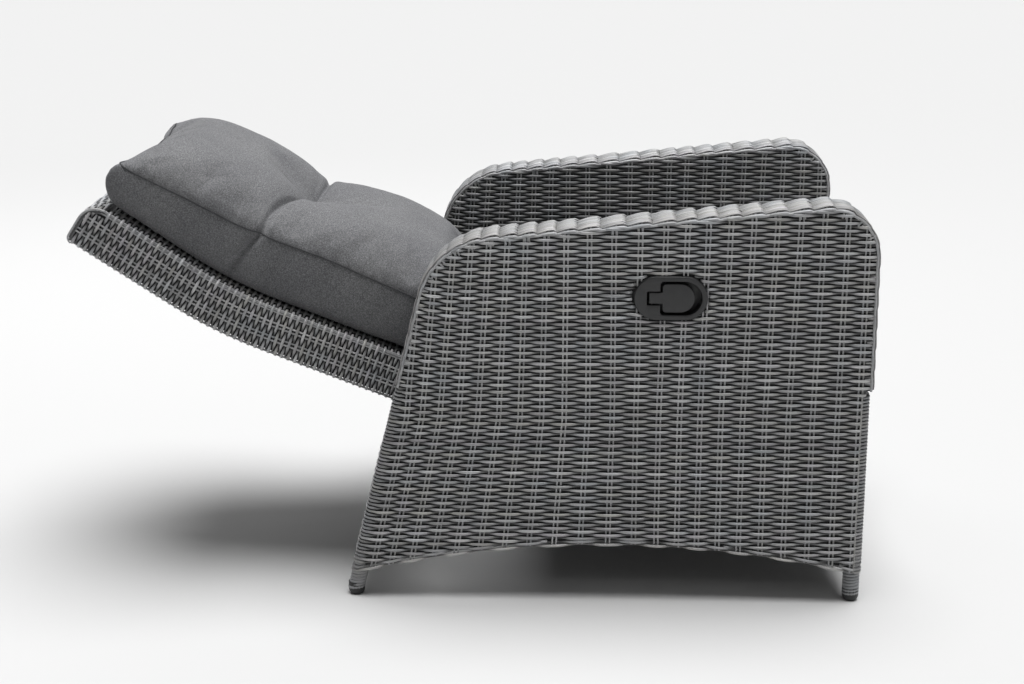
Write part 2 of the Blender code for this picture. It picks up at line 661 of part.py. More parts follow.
recess = hide_cutter(side_plate("bezel_recess", keyhole(0, -0.0385, 0.0114, -0.0172, 0.0500, 0.0278), -0.36, -0.3440, BLACK, cut_coll))
cut(flange, recess)
pocket = hide_cutter(side_plate("bezel_pocket", [(hy + u, hz + w) for u, w in stadium(0, 0, 0.1000, 0.0600, 12)], -0.3449, -0.3200, BLACK, cut_coll))
cut(flange, pocket)
guide_bore = hide_cutter(rod("guide_bore", (-0.3250, hy + 0.040, hz), (-0.3250, hy + 0.060, hz), 0.0036, BLACK, 16, cut_coll))
cut(flange, guide_bore)

turn = bpy.data.objects.new("handle_axis", None)
HX, HY = HANDLE_HINGE_X, hy - HANDLE_HINGE_U
turn.location = (HX, HY, hz)
part_coll.objects.link(turn)
# the paddle: a flat face plate with a knuckle round the hinge pin and a cable horn
paddle = side_plate("handle_paddle", keyhole(0, -0.0352, 0.0095, -0.0137, 0.0385, 0.0238), -0.3488, -0.3440, BLACK)
knuckle = hide_cutter(rod("paddle_knuckle", (HX, HY, hz - 0.0095), (HX, HY, hz + 0.0095), 0.0045, BLACK, 20, cut_coll))
hang(knuckle, turn)
cut(paddle, knuckle, "UNION")
horn = hide_cutter(box("paddle_horn", (HX + 0.0005, HY - 0.0020, hz - 0.0030), (HX + 0.0160, HY + 0.0020, hz + 0.0030), BLACK, coll=cut_coll))
hang(horn, turn)
cut(paddle, horn, "UNION")
pin_bore = hide_cutter(rod("paddle_bore", (HX, HY, hz - 0.02), (HX, HY, hz + 0.02), 0.0021, BLACK, 16, cut_coll))
hang(pin_bore, turn)
cut(paddle, pin_bore)
hang(paddle, turn)
rod("handle_hinge_pin", (HX, HY, hz - 0.0118), (HX, HY, hz + 0.0118), 0.0016, STEEL, 14)

# return spring: a small torsion coil standing beside the hinge
coil = []
for k in range(5 * 10 + 1):
    a = 2 * math.pi * k / 10
    coil.append((-0.3345 + 0.0030 * math.cos(a), HY + 0.0085 + 0.0030 * math.sin(a), hz - 0.0048 + 0.0096 * k / 50))
tube("handle_return_spring", coil, 0.00060, STEEL, 8)

# cable guide in the bezel's rear wall, and the sheathed cable down to the spring head
rod("cable_guide", (-0.3250, hy + 0.0460, hz), (-0.3250, hy + 0.0575, hz), 0.0032, BLACK, 14)


def smooth_path(ctrl, n):
    """Catmull-Rom points through the control points."""
    p = [Vector(c) for c in ctrl]
    p = [p[0] * 2 - p[1]] + p + [p[-1] * 2 - p[-2]]
    out = []
    seg = len(p) - 3
    for i in range(seg):
        a, b, c, d = p[i:i + 4]
        m = n // seg
        for k in range(m):
            t = k / m
            out.append(0.5 * ((2 * b) + (c - a) * t + (2 * a - 5 * b + 4 * c - d) * t * t + (3 * b - a - 3 * c + d) * t ** 3))
    out.append(p[-2])
    return out


cable = [(-0.3250, hy + 0.0580, hz), (-0.3230, hy + 0.0850, hz - 0.004), (-0.3080, hy + 0.1020, hz - 0.050),
         (-0.3035, hy + 0.1000, hz - 0.120), (-0.3035, hy + 0.0900, 0.3500), (-0.2950, hy + 0.0820, 0.3180),
         (-0.2550, hy + 0.0760, 0.3090), (-0.1500, hy + 0.0600, 0.3080), (-0.0600, hy + 0.0300, 0.3100),
         (-0.0240, by - 0.0280, 0.3090), (-0.0140, by - 0.0480, 0.3060)]
tube("release_cable", smooth_path(cable, 70), 0.0030, SHEATH, 8)

# ------------------------------------------------------------- cushions
SEAT_CUSHION = (at(-0.2580, -0.4740, 0.3716), at(0.2580, 0.0220, 0.4700))
box("seat_cushion", *SEAT_CUSHION, FABRIC, 0.0220)


def cushion_outline():
    """Side profile of the back cushion: two puffs with a sewn crease between."""
    low = [(0.030, 0.043), (0.10, 0.0405), (0.20, 0.0405), (0.32, 0.0405), (0.42, 0.0405), (0.52, 0.0405), (0.62, 0.0405), (0.668, 0.048)]
    high = [(0.682, 0.080), (0.672, 0.118), (0.640, 0.150), (0.590, 0.172), (0.530, 0.184), (0.460, 0.184), (0.400, 0.174),
            (0.355, 0.160), (0.322, 0.160), (0.280, 0.174), (0.220, 0.188), (0.150, 0.190), (0.095, 0.178), (0.050, 0.150), (0.024, 0.110), (0.020, 0.070)]
    return [tuple(back_point(s, t)) for s, t in low + high]


prof = [(p[1], p[2]) for p in cushion_outline()]
cushion = side_plate("back_cushion", prof, -0.2450, 0.2450, FABRIC, bevel=0.0120)
hang(cushion, recline)

# the soles stand on z = 0
for ob in bpy.data.objects:
    if ob.parent is None:
        ob.location.z -= DROP
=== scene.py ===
# Looks of the reclining woven-resin armchair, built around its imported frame.
# Strands, leg wraps, cushions, bezel and every material are made here.
import json
import math

import bmesh
import bpy
import numpy as np
from mathutils import Matrix, Vector

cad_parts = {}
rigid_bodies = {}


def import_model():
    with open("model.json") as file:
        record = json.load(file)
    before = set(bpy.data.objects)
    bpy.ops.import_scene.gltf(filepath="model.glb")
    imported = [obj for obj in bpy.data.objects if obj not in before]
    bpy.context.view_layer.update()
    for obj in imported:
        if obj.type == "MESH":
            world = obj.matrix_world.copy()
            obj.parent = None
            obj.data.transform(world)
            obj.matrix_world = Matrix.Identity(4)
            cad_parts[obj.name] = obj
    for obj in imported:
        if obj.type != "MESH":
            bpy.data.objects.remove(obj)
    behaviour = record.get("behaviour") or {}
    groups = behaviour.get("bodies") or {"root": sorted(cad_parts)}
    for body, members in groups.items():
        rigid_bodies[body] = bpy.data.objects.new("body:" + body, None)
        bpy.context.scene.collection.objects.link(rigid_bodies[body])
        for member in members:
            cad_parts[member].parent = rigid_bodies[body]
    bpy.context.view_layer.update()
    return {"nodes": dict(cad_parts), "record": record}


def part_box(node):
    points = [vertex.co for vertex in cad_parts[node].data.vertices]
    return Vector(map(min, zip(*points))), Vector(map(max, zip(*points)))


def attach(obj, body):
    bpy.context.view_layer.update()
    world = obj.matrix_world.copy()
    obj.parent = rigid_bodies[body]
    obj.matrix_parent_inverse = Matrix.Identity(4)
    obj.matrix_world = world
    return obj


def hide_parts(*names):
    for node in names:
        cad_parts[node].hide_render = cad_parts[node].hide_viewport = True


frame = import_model()
rng = np.random.default_rng(11)

SHIFT = -0.1775              # side profile to the frame's y
DROP = 0.0115                # the side profile's datum lies this far below the soles

# ---------------------------------------------------------------- the stage
cam_data = bpy.data.cameras.new("camera")
cam = bpy.data.objects.new("camera", cam_data)
bpy.context.scene.collection.objects.link(cam)
cam_data.sensor_width = 36.0
cam_data.lens = 1869.8 / 1024 * 36.0
cam_data.clip_start, cam_data.clip_end = 0.05, 60
right, up, fwd = Vector((0.0341, -0.9994, 0.0002)), Vector((0.2600, 0.0090, 0.9656)), Vector((0.9650, 0.0329, -0.2602))
m = Matrix((right, up, -fwd)).transposed().to_4x4()
m.translation = Vector((-3.2552, -0.1775, 1.2280))
cam.matrix_world = m
bpy.context.scene.camera = cam


# ------------------------------------------------------------ node helpers
def new_mat(name):
    mt = bpy.data.materials.new(name)
    mt.use_nodes = True
    return mt, mt.node_tree, mt.node_tree.nodes["Principled BSDF"]


def node(nt, kind, **kw):
    n = nt.nodes.new("ShaderNode" + kind)
    for k, v in kw.items():
        if isinstance(k, str) and hasattr(n, k):
            setattr(n, k, v)
    return n


def ins(n, **kw):
    for k, v in kw.items():
        n.inputs[k.replace("_", " ")].default_value = v
    return n


def math_node(nt, op, a, b=None, clamp=False):
    n = nt.nodes.new("ShaderNodeMath")
    n.operation = op
    n.use_clamp = clamp
    for i, v in enumerate((a, b)):
        if v is None:
            continue
        if isinstance(v, (int, float)):
            n.inputs[i].default_value = v
        else:
            nt.links.new(v, n.inputs[i])
    return n.outputs[0]


def mix_rgb(nt, mode, fac, a, b):
    n = nt.nodes.new("ShaderNodeMix")
    n.data_type = "RGBA"
    n.blend_type = mode
    for i, v in ((0, fac), (6, a), (7, b)):
        if isinstance(v, (int, float)):
            n.inputs[i].default_value = v
        elif isinstance(v, tuple):
            n.inputs[i].default_value = (*v, 1)
        else:
            nt.links.new(v, n.inputs[i])
    return n.outputs[2]


def noise(nt, vec, scale, detail=3.0, rough=0.55):
    n = nt.nodes.new("ShaderNodeTexNoise")
    n.inputs["Scale"].default_value = scale
    n.inputs["Detail"].default_value = detail
    n.inputs["Roughness"].default_value = rough
    if vec is not None:
        nt.links.new(vec, n.inputs["Vector"])
    return n.outputs["Fac"]


def ramp(nt, fac, stops, interp="LINEAR"):
    n = nt.nodes.new("ShaderNodeValToRGB")
    n.color_ramp.interpolation = interp
    el = n.color_ramp.elements
    while len(el) < len(stops):
        el.new(0.5)
    for e, (p, c) in zip(el, stops):
        e.position = p
        e.color = (*c, 1) if len(c) == 3 else c
    nt.links.new(fac, n.inputs[0])
    return n.outputs[0]


def bump(nt, height, strength, dist, normal=None):
    n = nt.nodes.new("ShaderNodeBump")
    n.inputs["Strength"].default_value = strength
    n.inputs["Distance"].default_value = dist
    nt.links.new(height, n.inputs["Height"])
    if normal is not None:
        nt.links.new(normal, n.inputs["Normal"])
    return n.outputs[0]


def obj_coord(nt, scale=(1, 1, 1)):
    tc = nt.nodes.new("ShaderNodeTexCoord")
    mp = nt.nodes.new("ShaderNodeMapping")
    mp.inputs["Scale"].default_value = scale
    nt.links.new(tc.outputs["Object"], mp.inputs["Vector"])
    return mp.outputs[0]


# -------------------------------------------------------------- materials
def strand_material():
    """Half-round resin strand in mixed greys, with fine drawn lines along it."""
    mt, nt, b = new_mat("resin_strand")
    at = node(nt, "Attribute")
    at.attribute_name = "tone"
    sep = nt.nodes.new("ShaderNodeSeparateColor")
    nt.links.new(at.outputs["Color"], sep.inputs[0])
    lum, tint, rnd = sep.outputs
    st = node(nt, "Attribute")
    st.attribute_name = "along"
    # colour family of the strand
    fam = ramp(nt, tint, [(0.0, (0.272, 0.273, 0.278)), (0.30, (0.250, 0.254, 0.262)), (0.52, (0.277, 0.276, 0.266)),
                          (0.72, (0.262, 0.255, 0.268)), (0.88, (0.37, 0.372, 0.378)), (1.0, (0.226, 0.236, 0.242))])
    streak = noise(nt, st.outputs["Vector"], 1.0, 3.0, 0.6)
    streak_c = ramp(nt, streak, [(0.30, (0.62, 0.62, 0.62)), (0.55, (1.0, 1.0, 1.0)), (0.75, (1.32, 1.32, 1.32))])
    c = mix_rgb(nt, "MULTIPLY", 1.0, fam, streak_c)
    patch = noise(nt, obj_coord(nt), 17.0, 2.0)
    patch_c = ramp(nt, patch, [(0.32, (0.95, 0.98, 0.995)), (0.46, (1.0, 1.0, 1.0)), (0.60, (1.01, 1.005, 0.98)), (0.72, (0.99, 0.972, 1.005))])
    c = mix_rgb(nt, "MULTIPLY", 1.0, c, patch_c)
    # the tone's brightness is the strand's own lightness times its painted shade and painted highlight
    lum_s = math_node(nt, "MULTIPLY", lum, 2.0)
    cc = nt.nodes.new("ShaderNodeCombineColor")
    for i in range(3):
        nt.links.new(lum_s, cc.inputs[i])
    c = mix_rgb(nt, "MULTIPLY", 1.0, c, cc.outputs[0])
    nt.links.new(c, b.inputs["Base Color"])
    r = ramp(nt, streak, [(0.3, (0.44,) * 3), (0.7, (0.30,) * 3)])
    nt.links.new(r, b.inputs["Roughness"])
    b.inputs["Specular IOR Level"].default_value = 0.65
    nt.links.new(bump(nt, streak, 0.35, 0.0004), b.inputs["Normal"])
    return mt


def shade_backing_material():
    """Painted shade: a near-black sheet for the shadowed hollow inside the weave, behind the strands."""
    mt, nt, b = new_mat("weave_painted_shade")
    w = node(nt, "TexWave")
    w.wave_type, w.bands_direction = "BANDS", "Z"
    w.inputs["Scale"].default_value = 52.0
    w.inputs["Distortion"].default_value = 1.5
    nt.links.new(obj_coord(nt), w.inputs["Vector"])
    n = noise(nt, obj_coord(nt, (60, 60, 260)), 1.0, 2.0)
    c = ramp(nt, n, [(0.35, (0.004, 0.004, 0.0045)), (0.7, (0.013, 0.013, 0.0135))])
    nt.links.new(c, b.inputs["Base Color"])
    nt.links.new(ramp(nt, n, [(0.3, (0.7,) * 3), (0.7, (0.55,) * 3)]), b.inputs["Roughness"])
    nt.links.new(bump(nt, w.outputs["Fac"], 0.6, 0.001), b.inputs["Normal"])
    return mt


def fabric_material(name, dark, mid, light, scale=1.0, painted_side_shade=False):
    """Heathered outdoor fabric: crossed yarns with slubs and flecks."""
    mt, nt, b = new_mat(name)
    flecks = noise(nt, obj_coord(nt), 900.0 * scale, 2.0, 0.7)
    slubs = noise(nt, obj_coord(nt), 420.0 * scale, 2.0, 0.6)
    yarns = noise(nt, obj_coord(nt), 2400.0 * scale, 1.0, 0.6)
    melange = math_node(nt, "ADD", math_node(nt, "MULTIPLY", flecks, 0.45),
                        math_node(nt, "ADD", math_node(nt, "MULTIPLY", slubs, 0.30), math_node(nt, "MULTIPLY", yarns, 0.25)))
    c = ramp(nt, melange, [(0.38, dark), (0.50, mid), (0.62, light)])
    cloud = noise(nt, obj_coord(nt), 9.0, 3.0)
    c = mix_rgb(nt, "MULTIPLY", 1.0, c, ramp(nt, cloud, [(0.3, (0.90, 0.90, 0.91)), (0.7, (1.07, 1.07, 1.06))]))
    if painted_side_shade:
        # painted shade: the side panels are set darker by surface direction, as sides that face away from the overhead
        # light
        geo = nt.nodes.new("ShaderNodeNewGeometry")
        sep = nt.nodes.new("ShaderNodeSeparateXYZ")
        nt.links.new(geo.outputs["Normal"], sep.inputs[0])
        c = mix_rgb(nt, "MULTIPLY", 1.0, c, ramp(nt, math_node(nt, "ABSOLUTE", sep.outputs[0]), [(0.40, (1.0,) * 3), (0.80, (0.68,) * 3)]))
    nt.links.new(c, b.inputs["Base Color"])
    nt.links.new(ramp(nt, melange, [(0.3, (0.96,) * 3), (0.7, (0.84,) * 3)]), b.inputs["Roughness"])
    b.inputs["Specular IOR Level"].default_value = 0.25
    b.inputs["Sheen Weight"].default_value = 0.15
    b.inputs["Sheen Roughness"].default_value = 0.45
    b.inputs["Sheen Tint"].default_value = (0.75, 0.76, 0.80, 1)
    # plain weave relief, with a softer crumple under it
    wa = node(nt, "TexWave")
    wa.wave_type, wa.bands_direction = "BANDS", "DIAGONAL"
    wa.inputs["Scale"].default_value = 330.0 * scale
    wa.inputs["Distortion"].default_value = 0.6
    nt.links.new(obj_coord(nt), wa.inputs["Vector"])
    fine = math_node(nt, "ADD", math_node(nt, "MULTIPLY", wa.outputs["Fac"], 0.5), math_node(nt, "MULTIPLY", yarns, 1.0))
    crumple = noise(nt, obj_coord(nt), 38.0, 3.0, 0.5)
    nb = bump(nt, crumple, 0.25, 0.0022)
    nt.links.new(bump(nt, fine, 0.5, 0.0006, nb), b.inputs["Normal"])
    return mt


def plastic_material(name, base, rough=0.38, grain=900.0):
    """Moulded black plastic with a fine spark-eroded grain and light scuffs."""
    mt, nt, b = new_mat(name)
    g = noise(nt, obj_coord(nt), grain, 2.0, 0.6)
    scuff = noise(nt, obj_coord(nt), 70.0, 4.0, 0.65)
    c = mix_rgb(nt, "MIX", math_node(nt, "MULTIPLY", ramp(nt, scuff, [(0.58, (0, 0, 0)), (0.80, (1, 1, 1))]), 0.25),
                base, tuple(min(1, v * 2.2 + 0.02) for v in base))
    nt.links.new(c, b.inputs["Base Color"])
    nt.links.new(ramp(nt, scuff, [(0.35, (rough - 0.06,) * 3), (0.75, (rough + 0.16,) * 3)]), b.inputs["Roughness"])
    b.inputs["Specular IOR Level"].default_value = 0.5
    nt.links.new(bump(nt, g, 0.22, 0.0002), b.inputs["Normal"])
    return mt


def coated_material(name, base):
    """Powder coat: fine orange peel over dark steel."""
    mt, nt, b = new_mat(name)
    peel = noise(nt, obj_coord(nt), 420.0, 2.0)
    wear = noise(nt, obj_coord(nt), 26.0, 5.0, 0.7)
    c = mix_rgb(nt, "MIX", ramp(nt, wear, [(0.66, (0, 0, 0)), (0.78, (0.5, 0.5, 0.5))]), base, (0.16, 0.16, 0.16))
    nt.links.new(c, b.inputs["Base Color"])
    nt.links.new(ramp(nt, wear, [(0.3, (0.40,) * 3), (0.8, (0.58,) * 3)]), b.inputs["Roughness"])
    b.inputs["Metallic"].default_value = 0.25
    nt.links.new(bump(nt, peel, 0.18, 0.0003), b.inputs["Normal"])
    return mt


def metal_material(name, base, rough, brushed=True, stain=0.25):
    mt, nt, b = new_mat(name)
    lines = noise(nt, obj_coord(nt, (90, 1400, 1400) if brushed else (300, 300, 300)), 1.0, 3.0, 0.6)
    spots = noise(nt, obj_coord(nt), 34.0, 5.0, 0.7)
    c = mix_rgb(nt, "MULTIPLY", 1.0, base, ramp(nt, spots, [(0.35, (1 - stain,) * 3), (0.65, (1.0,) * 3)]))
    nt.links.new(c, b.inputs["Base Color"])
    nt.links.new(ramp(nt, lines, [(0.3, (rough * 0.8,) * 3), (0.7, (rough * 1.35,) * 3)]), b.inputs["Roughness"])
    b.inputs["Metallic"].default_value = 1.0
    nt.links.new(bump(nt, lines, 0.08, 0.0002), b.inputs["Normal"])
    return mt


STRAND = strand_material()
SHADE_BACKING = shade_backing_material()
FABRIC = fabric_material("cushion_fabric", (0.074, 0.075, 0.079), (0.156, 0.157, 0.163), (0.320, 0.322, 0.330), 1.0, True)
PIPING = fabric_material("cushion_piping", (0.018, 0.018, 0.019), (0.040, 0.041, 0.043), (0.09, 0.091, 0.094), 1.6)
THREAD = fabric_material("sewing_thread", (0.03, 0.03, 0.032), (0.07, 0.07, 0.073), (0.13, 0.13, 0.135), 3.0)
BLACK = plastic_material("bezel_plastic", (0.014, 0.0143, 0.015), 0.36)
CAPS = plastic_material("foot_cap_plastic", (0.015, 0.015, 0.0155), 0.42, 600.0)
COAT = coated_material("powder_coat", (0.035, 0.035, 0.037))
ZINC = metal_material("zinc_plate", (0.56, 0.56, 0.55), 0.34)
CHROME = metal_material("hard_chrome", (0.78, 0.78, 0.79), 0.10, True, 0.08)
SHEATH = plastic_material("cable_sheath", (0.02, 0.02, 0.02), 0.5, 1500.0)


# ----------------------------------------------------- side profile (design)
TOP_Z0, TOP_Y0, TOP_RISE = 0.6300, 0.1244, 0.0956
REAR_Y0, TILT = 0.3850, 0.249
FRONT_Y, SKIRT_Y = -0.4855, -0.4805
STRIP_Z = 0.3785
OUT_X, IN_X = 0.3480, 0.2690      # middle of the weave on the two faces
LEG_X, FRONT_LEG_Y, REAR_LEG_Y0, LEG_R = 0.3305, -0.4655, 0.3672, 0.0120
PITCH = 0.0060
AMP = 0.0029


def top_z(y):
    return TOP_Z0 + (TOP_Y0 - y) * TOP_RISE


def rear_y(z):
    return REAR_Y0 - TILT * z


def arch_z(y):
    return 0.1080 - 0.288 * (y + 0.07) ** 2


def fillet(points, radii, n=12):
    out = [Vector(points[0])]
    for i in range(1, len(points) - 1):
        a, b, c = (Vector(points[k]) for k in (i - 1, i, i + 1))
        r = radii[i - 1]
        u, v = (a - b).normalized(), (c - b).normalized()
        half = math.acos(max(-1, min(1, u.dot(v)))) / 2
        p0 = b + u * (r / math.tan(half))
        centre = b + (u + v).normalized() * (r / math.sin(half))
        a0 = p0 - centre
        turn = -1 if (u.x * v.y - u.y * v.x) > 0 else 1
        for k in range(n + 1):
            ang = turn * (math.pi - 2 * half) * k / n
            ca, sa = math.cos(ang), math.sin(ang)
            out.append(Vector((centre.x + a0.x * ca - a0.y * sa, centre.y + a0.x * sa + a0.y * ca)))
    out.append(Vector(points[-1]))
    return np.array([(p.x, p.y) for p in out])


z_c = (TOP_Z0 + (TOP_Y0 - REAR_Y0) * TOP_RISE) / (1 - TOP_RISE * TILT)
OUTLINE = fillet([(FRONT_Y, STRIP_Z), (FRONT_Y, top_z(FRONT_Y)), (rear_y(z_c), z_c), (rear_y(STRIP_Z), STRIP_Z)], [0.080, 0.130])


def offset_path(p, d):
    """Moves an open path d to the right of its direction (the arm's inside)."""
    t = np.gradient(p, axis=0)
    t /= np.linalg.norm(t, axis=1)[:, None]
    return p + np.stack([t[:, 1], -t[:, 0]], 1) * d


def resample(p, step=None, count=None):
    s = np.concatenate([[0], np.cumsum(np.linalg.norm(np.diff(p, axis=0), axis=1))])
    n = count or max(2, int(round(s[-1] / step)) + 1)
    q = np.linspace(0, s[-1], n)
    return np.stack([np.interp(q, s, p[:, k]) for k in range(p.shape[1])], 1), q


def inside(poly, y, z):
    y, z = np.asarray(y), np.asarray(z)
    res = np.zeros(y.shape, bool)
    n = len(poly)
    for i in range(n):
        y0, z0 = poly[i]
        y1, z1 = poly[(i + 1) % n]
        c = (z0 > z) != (z1 > z)
        with np.errstate(divide="ignore", invalid="ignore"):
            xi = (y1 - y0) * (z - z0) / (z1 - z0 if z1 != z0 else 1e-12) + y0
        res ^= c & (y < xi)
    return res


# stakes, rear to front: where each crosses two heights of the arm
STAKE_LOW = np.array([0.271, 0.246, 0.217, 0.186, 0.155, 0.121, 0.086, 0.051, 0.014, -0.024, -0.064, -0.102, -0.139,
                      -0.173, -0.206, -0.240, -0.275, -0.311, -0.349, -0.388, -0.428, -0.463])
STAKE_TOP = np.array([0.243, 0.217, 0.190, 0.163, 0.135, 0.106, 0.077, 0.045, 0.013, -0.024, -0.063, -0.105, -0.145,
                      -0.179, -0.212, -0.247, -0.283, -0.320, -0.357, -0.394, -0.431, -0.464])
Z_LOW, Z_TOP = 0.327, 0.630


def stake_y(t, z):
    """y of stake coordinate t (may be a fraction, or past the ends) at height z."""
    n = len(STAKE_LOW)
    idx = np.arange(n)
    lo = np.interp(t, idx, STAKE_LOW) - 0.030 * np.maximum(0, t - (n - 1)) + 0.030 * np.maximum(0, -t)
    hi = np.interp(t, idx, STAKE_TOP) - 0.030 * np.maximum(0, t - (n - 1)) + 0.030 * np.maximum(0, -t)
    up_part = lo + (hi - lo) * (z - Z_LOW) / (Z_TOP - Z_LOW)
    k = 0.249 * np.clip((lo + 0.10) / 0.40, 0, 1.05)
    return np.where(z >= Z_LOW, up_part, lo + k * (Z_LOW - z))


def smooth(x):
    x = np.clip(x, 0, 1)
    return x * x * (3 - 2 * x)


def row_z(zk, y):
    """Height of the row with level zk at y."""
    bend = TILT * np.clip(y - 0.17, 0, 0.16) ** 2 / 0.25
    return zk + smooth((zk - 0.30) / 0.20) * bend


# ------------------------------------------------------------ strand meshes
class Strands:
    """Collects closed, flattened strands and builds one mesh from them."""

    def __init__(self, name, sides=6):
        self.name, self.sides = name, sides
        self.v, self.f, self.tone, self.along, self.uv = [], [], [], [], []
        self.n, self.count = 0, 0
        ang = 2 * np.pi * (np.arange(sides) + 0.5) / sides - np.pi / 2 - np.pi / sides
        self.c, self.s = np.cos(ang), np.sin(ang)

    def add(self, P, N, w, h, tone=None, closed=False, shade=None):
        P, N = np.asarray(P, float), np.asarray(N, float)
        k, m = len(P), self.sides
        if k < 2:
            return
        T = (np.roll(P, -1, 0) - np.roll(P, 1, 0)) if closed else np.gradient(P, axis=0)
        T /= np.maximum(np.linalg.norm(T, axis=1)[:, None], 1e-12)
        N = N - (N * T).sum(1)[:, None] * T
        N /= np.maximum(np.linalg.norm(N, axis=1)[:, None], 1e-12)
        B = np.cross(T, N)
        w = np.broadcast_to(np.asarray(w, float), (k,))
        h = np.broadcast_to(np.asarray(h, float), (k,))
        ring = P[:, None] + B[:, None] * (self.c[None, :, None] * w[:, None, None]) + N[:, None] * (self.s[None, :, None] * h[:, None, None])
        self.v.append(ring.reshape(-1, 3))
        i = np.arange(k if closed else k - 1)[:, None] * m
        j = np.arange(m)[None, :]
        jn = (j + 1) % m
        nxt = (i + m) % (k * m) if closed else i + m
        quads = np.stack([i + j, i + jn, nxt + jn, nxt + j], -1).reshape(-1, 4) + self.n
        self.f.append(quads)
        seg = np.linalg.norm(np.diff(P, axis=0), axis=1)
        length = np.concatenate([[0], np.cumsum(seg)])
        if tone is None:
            tone = new_tone()
        tones = np.tile(np.array(tone, float), (k * m, 1))
        # shade: painted shade and painted highlight along the strand, multiplied into its brightness
        if shade is not None:
            tones[:, 0] *= np.repeat(shade, m)
        self.tone.append(np.clip(tones, 0, 1))
        a = np.zeros((k, m, 3))
        a[:, :, 0] = length[:, None] * 14.0 + tone[2] * 40
        a[:, :, 1] = self.c[None, :] * 2.6
        a[:, :, 2] = self.s[None, :] * 0.8 + tone[2] * 97
        self.along.append(a.reshape(-1, 3))
        # one strip of the OFBake UV map for each strand
        kk = len(i)
        u0 = np.arange(kk)[:, None] / kk + np.zeros((1, m))
        u1 = (np.arange(kk)[:, None] + 1) / kk + np.zeros((1, m))
        v0 = self.count + 0.06 + 0.88 * j / m + np.zeros((kk, 1))
        v1 = self.count + 0.06 + 0.88 * (j + 1) / m + np.zeros((kk, 1))
        self.uv.append(np.stack([np.stack([u0, v0], -1), np.stack([u0, v1], -1), np.stack([u1, v1], -1), np.stack([u1, v0], -1)], 2).reshape(-1, 2))
        self.caps = getattr(self, "caps", [])
        if not closed:
            self.caps.append((self.n, self.n + (k - 1) * m, self.count))
        self.n += k * m
        self.count += 1

    def build(self, body, mat=None):
        V = np.concatenate(self.v)
        quads = np.concatenate(self.f)
        m = self.sides
        caps_idx, caps_uv = [], []
        for a, b, row in self.caps:
            caps_idx.append(np.arange(a, a + m)[::-1])
            caps_idx.append(np.arange(b, b + m))
            caps_uv += [(0.0, row + 0.5)] * m + [(1.0, row + 0.5)] * m
        nq, nc = len(quads), len(caps_idx)
        loops = np.concatenate([quads.ravel()] + caps_idx) if nc else quads.ravel()
        start = np.concatenate([np.arange(nq) * 4, nq * 4 + np.arange(nc) * m])
        total = np.concatenate([np.full(nq, 4), np.full(nc, m)])
        me = bpy.data.meshes.new(self.name)
        me.vertices.add(len(V))
        me.vertices.foreach_set("co", V.ravel())
        me.loops.add(len(loops))
        me.loops.foreach_set("vertex_index", loops.astype(np.int32))
        me.polygons.add(nq + nc)
        me.polygons.foreach_set("loop_start", start.astype(np.int32))
        me.polygons.foreach_set("loop_total", total.astype(np.int32))
        me.polygons.foreach_set("use_smooth", np.concatenate([np.ones(nq, bool), np.zeros(nc, bool)]))
        me.update(calc_edges=True)
        at = me.attributes.new("tone", "FLOAT_COLOR", "POINT")
        at.data.foreach_set("color", np.concatenate([np.concatenate(self.tone), np.ones((len(V), 1))], 1).ravel().astype(np.float32))
        al = me.attributes.new("along", "FLOAT_VECTOR", "POINT")
        al.data.foreach_set("vector", np.concatenate(self.along).ravel().astype(np.float32))
        uv = np.concatenate(self.uv + ([np.array(caps_uv)] if nc else []))
        uv = uv / np.array([1.0, max(1, self.count)])
        uvl = me.uv_layers.new(name="OFBake")
        uvl.data.foreach_set("uv", uv.ravel().astype(np.float32))
        ob = bpy.data.objects.new(self.name, me)
        bpy.context.scene.collection.objects.link(ob)
        me.materials.append(mat or STRAND)
        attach(ob, body)
        return ob


def new_tone(light=0.0):
    """Brightness, colour family and a random number for one strand."""
    return (float(np.clip(0.5 + light + rng.normal(0, 0.050), 0.25, 0.9)), float(rng.random() ** 1.1 * 0.999), float(rng.random()))


def plain(t, parity, amp=AMP):
    """How far a weaver stands out at stake coordinate t."""
    c = np.cos(np.pi * (t + parity))
    return amp * c * (1.28 - 0.28 * c * c)


def spindle(out, amp=AMP):
    """A weaver is full where it floats and thin where it dives; its colour gets a painted highlight on the float and
    painted shade where it dives.
    """
    f = smooth((out / amp + 1) / 2)
    return 0.62 + 0.48 * f, 0.34 + 0.90 * f


def pieces(mask):
    """Runs of True in a mask, as index pairs."""
    d = np.diff(np.concatenate([[0], mask.astype(int), [0]]))
    return list(zip(np.where(d == 1)[0], np.where(d == -1)[0]))


STEP_T = 1 / 7.0
W_HALF, H_HALF = 0.00240, 0.0016
S_HALF, S_THICK, S_GAP = 0.0016, 0.0010, 0.0032


def corner(cx, cy, r, sx, towards, n=6):
    """Quarter turn round a leg, from the side face to the front or the rear."""
    a = np.linspace(0, np.pi / 2, n + 1)[1:]
    pts = np.stack([cx + sx * r * np.cos(a), cy + towards * r * np.sin(a)], 1)
    nrm = np.stack([sx * np.cos(a), towards * np.sin(a)], 1)
    return pts, nrm


